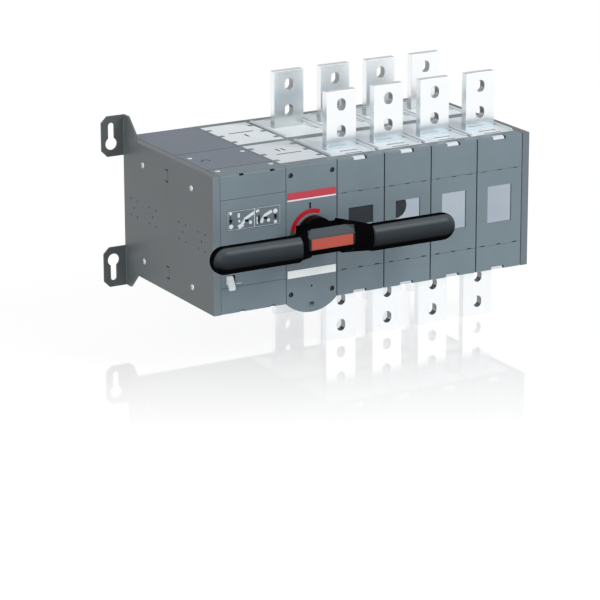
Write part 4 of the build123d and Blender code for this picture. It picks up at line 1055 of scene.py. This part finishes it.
def spring_tree():
    """Two coils of round wire along Y, one behind the other."""
    places = [row + " " + end for row in ("Front", "Rear") for end in ("Start", "End")]
    shape = Shape("coil_springs", {
        "Base": "NodeSocketGeometry",
        **dict.fromkeys(["Axis", "Coil Radius", "Wire Radius", "Pitch", *places], "NodeSocketFloat"),
        "Material": "NodeSocketMaterial",
    })
    coil_radius, wire_radius = shape.given("Coil Radius"), shape.given("Wire Radius")
    profile = shape.node("GeometryNodeCurvePrimitiveCircle", sockets={
        "Resolution": wire_sides, "Radius": wire_radius,
    })
    coils = []
    for row in ("Front", "Rear"):
        back = shape.given(row + " End") - wire_radius
        height = back - shape.given(row + " Start") - wire_radius
        coil = shape.node("GeometryNodeCurveSpiral", sockets={
            "Resolution": coil_steps, "Rotations": height / shape.given("Pitch"),
            "Start Radius": coil_radius, "End Radius": coil_radius, "Height": height, "Reverse": True,
        })
        wire = shape.node("GeometryNodeCurveToMesh", sockets={
            "Curve": coil, "Profile Curve": profile, "Fill Caps": True,
        })
        coils.append(shape.moved(wire, shape.vector(shape.given("Axis"), back), (math.pi / 2, 0.0, 0.0)))
    shape.end(shape.join(*coils))
    return shape


low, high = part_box("snap_springs")
front_end = low[1] + front_spring_length
spring_points = [vert.co.y for vert in nodes["snap_springs"].data.vertices]
springs = from_tree("snap_springs_fine", spring_tree(), [], [], {
    "Axis": handle_x,
    "Coil Radius": 12.5 * mm,
    "Wire Radius": 1.4 * mm,
    "Pitch": 4.2 * mm,
    "Front Start": low[1],
    "Front End": front_end,
    "Rear Start": min(y for y in spring_points if y > front_end + least_gap),
    "Rear End": high[1],
    "Material": finish_of("snap_springs"),
})
stand_for(springs, "snap_springs")
cad_faces = len(nodes["snap_springs"].data.polygons)
print("snap_springs_fine:", len(springs.data.polygons), "faces, CAD mesh:", cad_faces, "faces")

# %% [markdown]
# ## Printed marks
# The marks are screen printed: a film of ink a tenth of a millimetre thick. Each one is a thin closed
# prism, so it is a real layer with its own gloss and stands a little proud of the part. The dark ink is
# printed last, over the light one, and marks that overlap differ a little in height, since two faces in
# one plane would flicker. A sheet of marks lies in a plane given by a corner and two directions, and
# every mark is an outline in millimetres on it.
# The positions I and II, the arrows and the small switch signs are generic.

# %% Marks
ink_thickness = {"light": 0.10 * mm, "dark": 0.16 * mm}
ink_step = 0.015 * mm
ink_levels = 3
ink_root = 0.06 * mm
round_points = 20


def stroke(start, end, width):
    """A straight line with flat ends, as the outline of a rectangle."""
    start, end = Vector(start), Vector(end)
    along = (end - start).normalized()
    side = Vector((-along.y, along.x)) * (width / 2)
    return [start - side, end - side, end + side, start + side]


def spot_mark(centre, diameter):
    """A round dot."""
    return [
        Vector(centre) + Vector((math.cos(a), math.sin(a))) * (diameter / 2)
        for a in (2 * math.pi * k / round_points for k in range(round_points))
    ]


def arrow_head(tip, back, width):
    """A filled triangle that points from back to tip."""
    tip, back = Vector(tip), Vector(back)
    along = (tip - back).normalized()
    side = Vector((-along.y, along.x)) * (width / 2)
    return [back - side, tip, back + side]


def marks(name, carrier, corner, right, down, outlines, colour):
    """Prints outlines on a part. They are in millimetres to the right of and below the corner."""
    right, down = Vector(right), Vector(down)
    out = down.cross(right)
    work = bmesh.new()
    for k, outline in enumerate(outlines):
        foot = [corner + right * (p.x * mm) + down * (p.y * mm) - out * ink_root for p in outline]
        rise = out * (ink_root + ink_thickness[colour] + k % ink_levels * ink_step)
        lower = [work.verts.new(place) for place in foot]
        upper = [work.verts.new(place + rise) for place in foot]
        work.faces.new(lower)
        work.faces.new(upper)
        for j in range(len(foot)):
            work.faces.new((lower[j - 1], lower[j], upper[j], upper[j - 1]))
    bmesh.ops.recalc_face_normals(work, faces=work.faces)
    mesh = bpy.data.meshes.new(name)
    work.to_mesh(mesh)
    work.free()
    mesh.materials.append(ink[colour])
    piece = new_object(name, mesh)
    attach(piece, nodes[carrier]["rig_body"])
    print(name + ":", len(outlines), "marks on", carrier)


def top_of(node_name, x, y):
    """The height of a part's upper surface at a place, in metres."""
    bpy.context.view_layer.update()
    _, place, _, _ = soft[node_name].ray_cast(Vector((x, y, 1.0)), Vector((0.0, 0.0, -1.0)))
    return place.z


# %% [markdown]
# The plate on the motor box explains the handle: two small fields, each with arrows and a switch sign.

# %% Pictograms
frame_line = 0.36
low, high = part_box("pictogram_plate")
plate_corner = Vector((low[0], low[1], high[2]))
on_front = ((1.0, 0.0, 0.0), (0.0, 0.0, -1.0))
light_marks = [
    stroke((0.8, 1.2), (43.2, 1.2), frame_line),
    stroke((0.8, 28.2), (43.2, 28.2), frame_line),
    stroke((1.0, 1.2), (1.0, 28.2), frame_line),
    stroke((44.0, 0.8), (44.0, 28.6), 0.9),
    stroke((45.0, 1.2), (85.6, 1.2), frame_line),
    stroke((45.0, 28.2), (85.6, 28.2), frame_line),
    stroke((85.6, 1.2), (85.6, 28.2), 0.45),
    spot_mark((5.6, 3.6), 4.6),
    spot_mark((6.2, 23.0), 6.8),
    stroke((18.8, 4.8), (18.6, 11.0), 3.4),
    stroke((19.0, 14.6), (20.2, 18.2), 3.0),
    stroke((18.0, 25.6), (26.0, 21.6), 6.0),
    stroke((21.0, 25.0), (30.4, 13.6), 4.6),
    stroke((28.0, 14.6), (43.4, 7.0), 4.4),
    spot_mark((37.6, 20.4), 5.4),
    stroke((46.6, 6.4), (51.6, 4.6), 3.4),
    stroke((48.2, 14.0), (48.8, 24.6), 1.8),
    stroke((55.0, 21.6), (61.6, 13.2), 4.6),
    stroke((60.0, 13.8), (72.4, 8.6), 4.6),
    spot_mark((56.0, 21.6), 5.4),
    spot_mark((67.0, 21.2), 5.2),
    spot_mark((78.2, 9.2), 7.0),
    spot_mark((78.3, 25.0), 5.2),
]
dark_marks = [
    stroke((5.6, 7.4), (5.6, 14.6), 1.2),
    arrow_head((5.4, 20.4), (5.8, 12.6), 6.4),
    stroke((28.4, 16.6), (34.4, 17.4), 3.6),
    stroke((51.4, 12.0), (51.4, 20.0), 2.6),
    arrow_head((51.0, 25.4), (51.0, 18.4), 4.8),
    stroke((58.6, 17.0), (65.0, 17.6), 3.8),
    stroke((78.2, 14.0), (78.2, 19.0), 4.2),
    arrow_head((78.2, 22.4), (78.2, 18.0), 4.6),
]
marks("pictogram_light", "pictogram_plate", plate_corner, *on_front, light_marks, "light")
marks("pictogram_dark", "pictogram_plate", plate_corner, *on_front, dark_marks, "dark")

# %% [markdown]
# The cover carries the position mark I above the dial, each lid the number of its switch with a line, and
# the motor box a short line beside its clip.

# %% Position marks
cover_corner = Vector((handle_x, front_y, 0.0))
position_mark = stroke((-2.6, -45.1), (-2.6, -36.0), 3.0)
marks("cover_mark", "mechanism_cover", cover_corner, *on_front, [position_mark], "dark")
on_top = ((1.0, 0.0, 0.0), (0.0, -1.0, 0.0))
lid_marks = {
    "mechanism_lid_rear": (-88 * mm, -21.0, [0.0]),
    "mechanism_lid_front": (-189 * mm, 23.0, [-4.4, 4.4]),
}
for carrier, (y, line_drop, number_places) in lid_marks.items():
    corner = Vector((handle_x, y, top_of(carrier, handle_x, y)))
    outlines = [stroke((x, -7.0), (x, 7.0), 3.2) for x in number_places]
    outlines.append(stroke((-18.8, line_drop), (22.2, line_drop), 3.0))
    marks(carrier + "_mark", carrier, corner, *on_top, outlines, "dark")
clip_corner = Vector((-231.1 * mm, front_y, -58.5 * mm))
clip_line = stroke((0, 0), (8.8, 0), 0.9)
marks("clip_line", "motor_front_cover", clip_corner, *on_front, [clip_line], "light")

# %% [markdown]
# ## Stage
# The switch stands on a white floor in front of a white room. The floor is drawn white for the camera and
# for reflections, and stays an ordinary matt floor for everything else, so it keeps the shadow without
# throwing light up at the switch. It is also slightly polished near the switch, and that polish fades
# towards the camera. The key lamp stands at the left and lights the side plate and the front. The tall
# strip lamp at the right is what the bars and the grips mirror, and it stands high, so that the floor
# doesn't throw its image into the windows. A faint top lamp lifts the lids.

# %% Stage
world = bpy.data.worlds.new("studio")
scene.world = world
world.use_nodes = True
world_tree = Recipe(world.node_tree)
room_light = 0.5
floor_half = 12.0
floor_glow = 1.1
floor_whiteness = 0.8
polish_start, polish_end = 0.27, 0.66
most_polish = 0.25


def seen_by_camera_or_gloss(recipe):
    """1 for rays that show the background: from the camera, in reflections and through glass."""
    path = recipe.tree.nodes.new("ShaderNodeLightPath")
    rays = [Wire(recipe.tree, path.outputs[name]) for name in (
        "Is Camera Ray", "Is Glossy Ray", "Is Transmission Ray",
    )]
    return recipe.calc("MINIMUM", rays[0] + rays[1] + rays[2], 1.0)


background = world.node_tree.nodes["Background"]
background.inputs["Color"].default_value = (1.0, 1.0, 1.0, 1.0)
shown = seen_by_camera_or_gloss(world_tree)
plug(world.node_tree, background.inputs["Strength"], shown * (1.0 - room_light) + room_light)

floor_mesh = bpy.data.meshes.new("floor")
floor_corners = [(-1, -1), (1, -1), (1, 1), (-1, 1)]
floor_mesh.from_pydata(
    [(x * floor_half, y * floor_half, floor_z) for x, y in floor_corners], [], [(0, 1, 2, 3)]
)
floor = new_object("floor", floor_mesh)

floor_finish = bpy.data.materials.new("floor")
floor_finish.use_nodes = True
floor_tree = Recipe(floor_finish.node_tree)
floor_finish.node_tree.nodes.clear()
spot = floor_tree.node("ShaderNodeTexCoord", output="Object")
toward = floor_tree.node("ShaderNodeVectorMath", {"operation": "DOT_PRODUCT"}, {
    0: spot, 1: (math.sin(camera_azimuth), -math.cos(camera_azimuth), 0.0),
}, output="Value")
polish = floor_tree.span(toward, polish_start, polish_end, most_polish, 0.0)
matt = floor_tree.node("ShaderNodeBsdfDiffuse", sockets={"Color": (0.88, 0.88, 0.88, 1.0)})
white = floor_tree.node("ShaderNodeEmission", sockets={"Color": (1, 1, 1, 1), "Strength": floor_glow})
mirror = floor_tree.node("ShaderNodeBsdfAnisotropic", sockets={
    "Color": (1, 1, 1, 1), "Roughness": 0.04,
})
pale = floor_tree.node("ShaderNodeMixShader", sockets={
    0: seen_by_camera_or_gloss(floor_tree) * floor_whiteness, 1: matt, 2: white,
})
surface = floor_tree.node("ShaderNodeMixShader", sockets={0: polish, 1: pale, 2: mirror})
output = floor_finish.node_tree.nodes.new("ShaderNodeOutputMaterial")
plug(floor_finish.node_tree, output.inputs["Surface"], surface)
floor_mesh.materials.append(floor_finish)


switch_middle = Vector((0.0, -0.14, 0.0))


def lamp(name, direction, distance, width, height, watts):
    """A soft lamp that looks at the middle of the switch."""
    data = bpy.data.lights.new(name, "AREA")
    data.shape = "RECTANGLE"
    data.size = width
    data.size_y = height
    data.energy = watts
    piece = new_object(name, data)
    away_from = Vector(direction).normalized()
    piece.location = switch_middle + away_from * distance
    piece.rotation_mode = "QUATERNION"
    piece.rotation_quaternion = (-away_from).to_track_quat("-Z", "Y")


lamp("key", (-1.0, -0.90, 0.45), 5.0, 3.3, 3.3, 70.0)
lamp("strip", (0.474, -0.62, 0.62), 5.0, 1.15, 3.0, 105.0)
lamp("top", (0.45, 0.25, 1.0), 5.0, 2.7, 2.7, 4.0)
scene.view_settings.view_transform = "Standard"
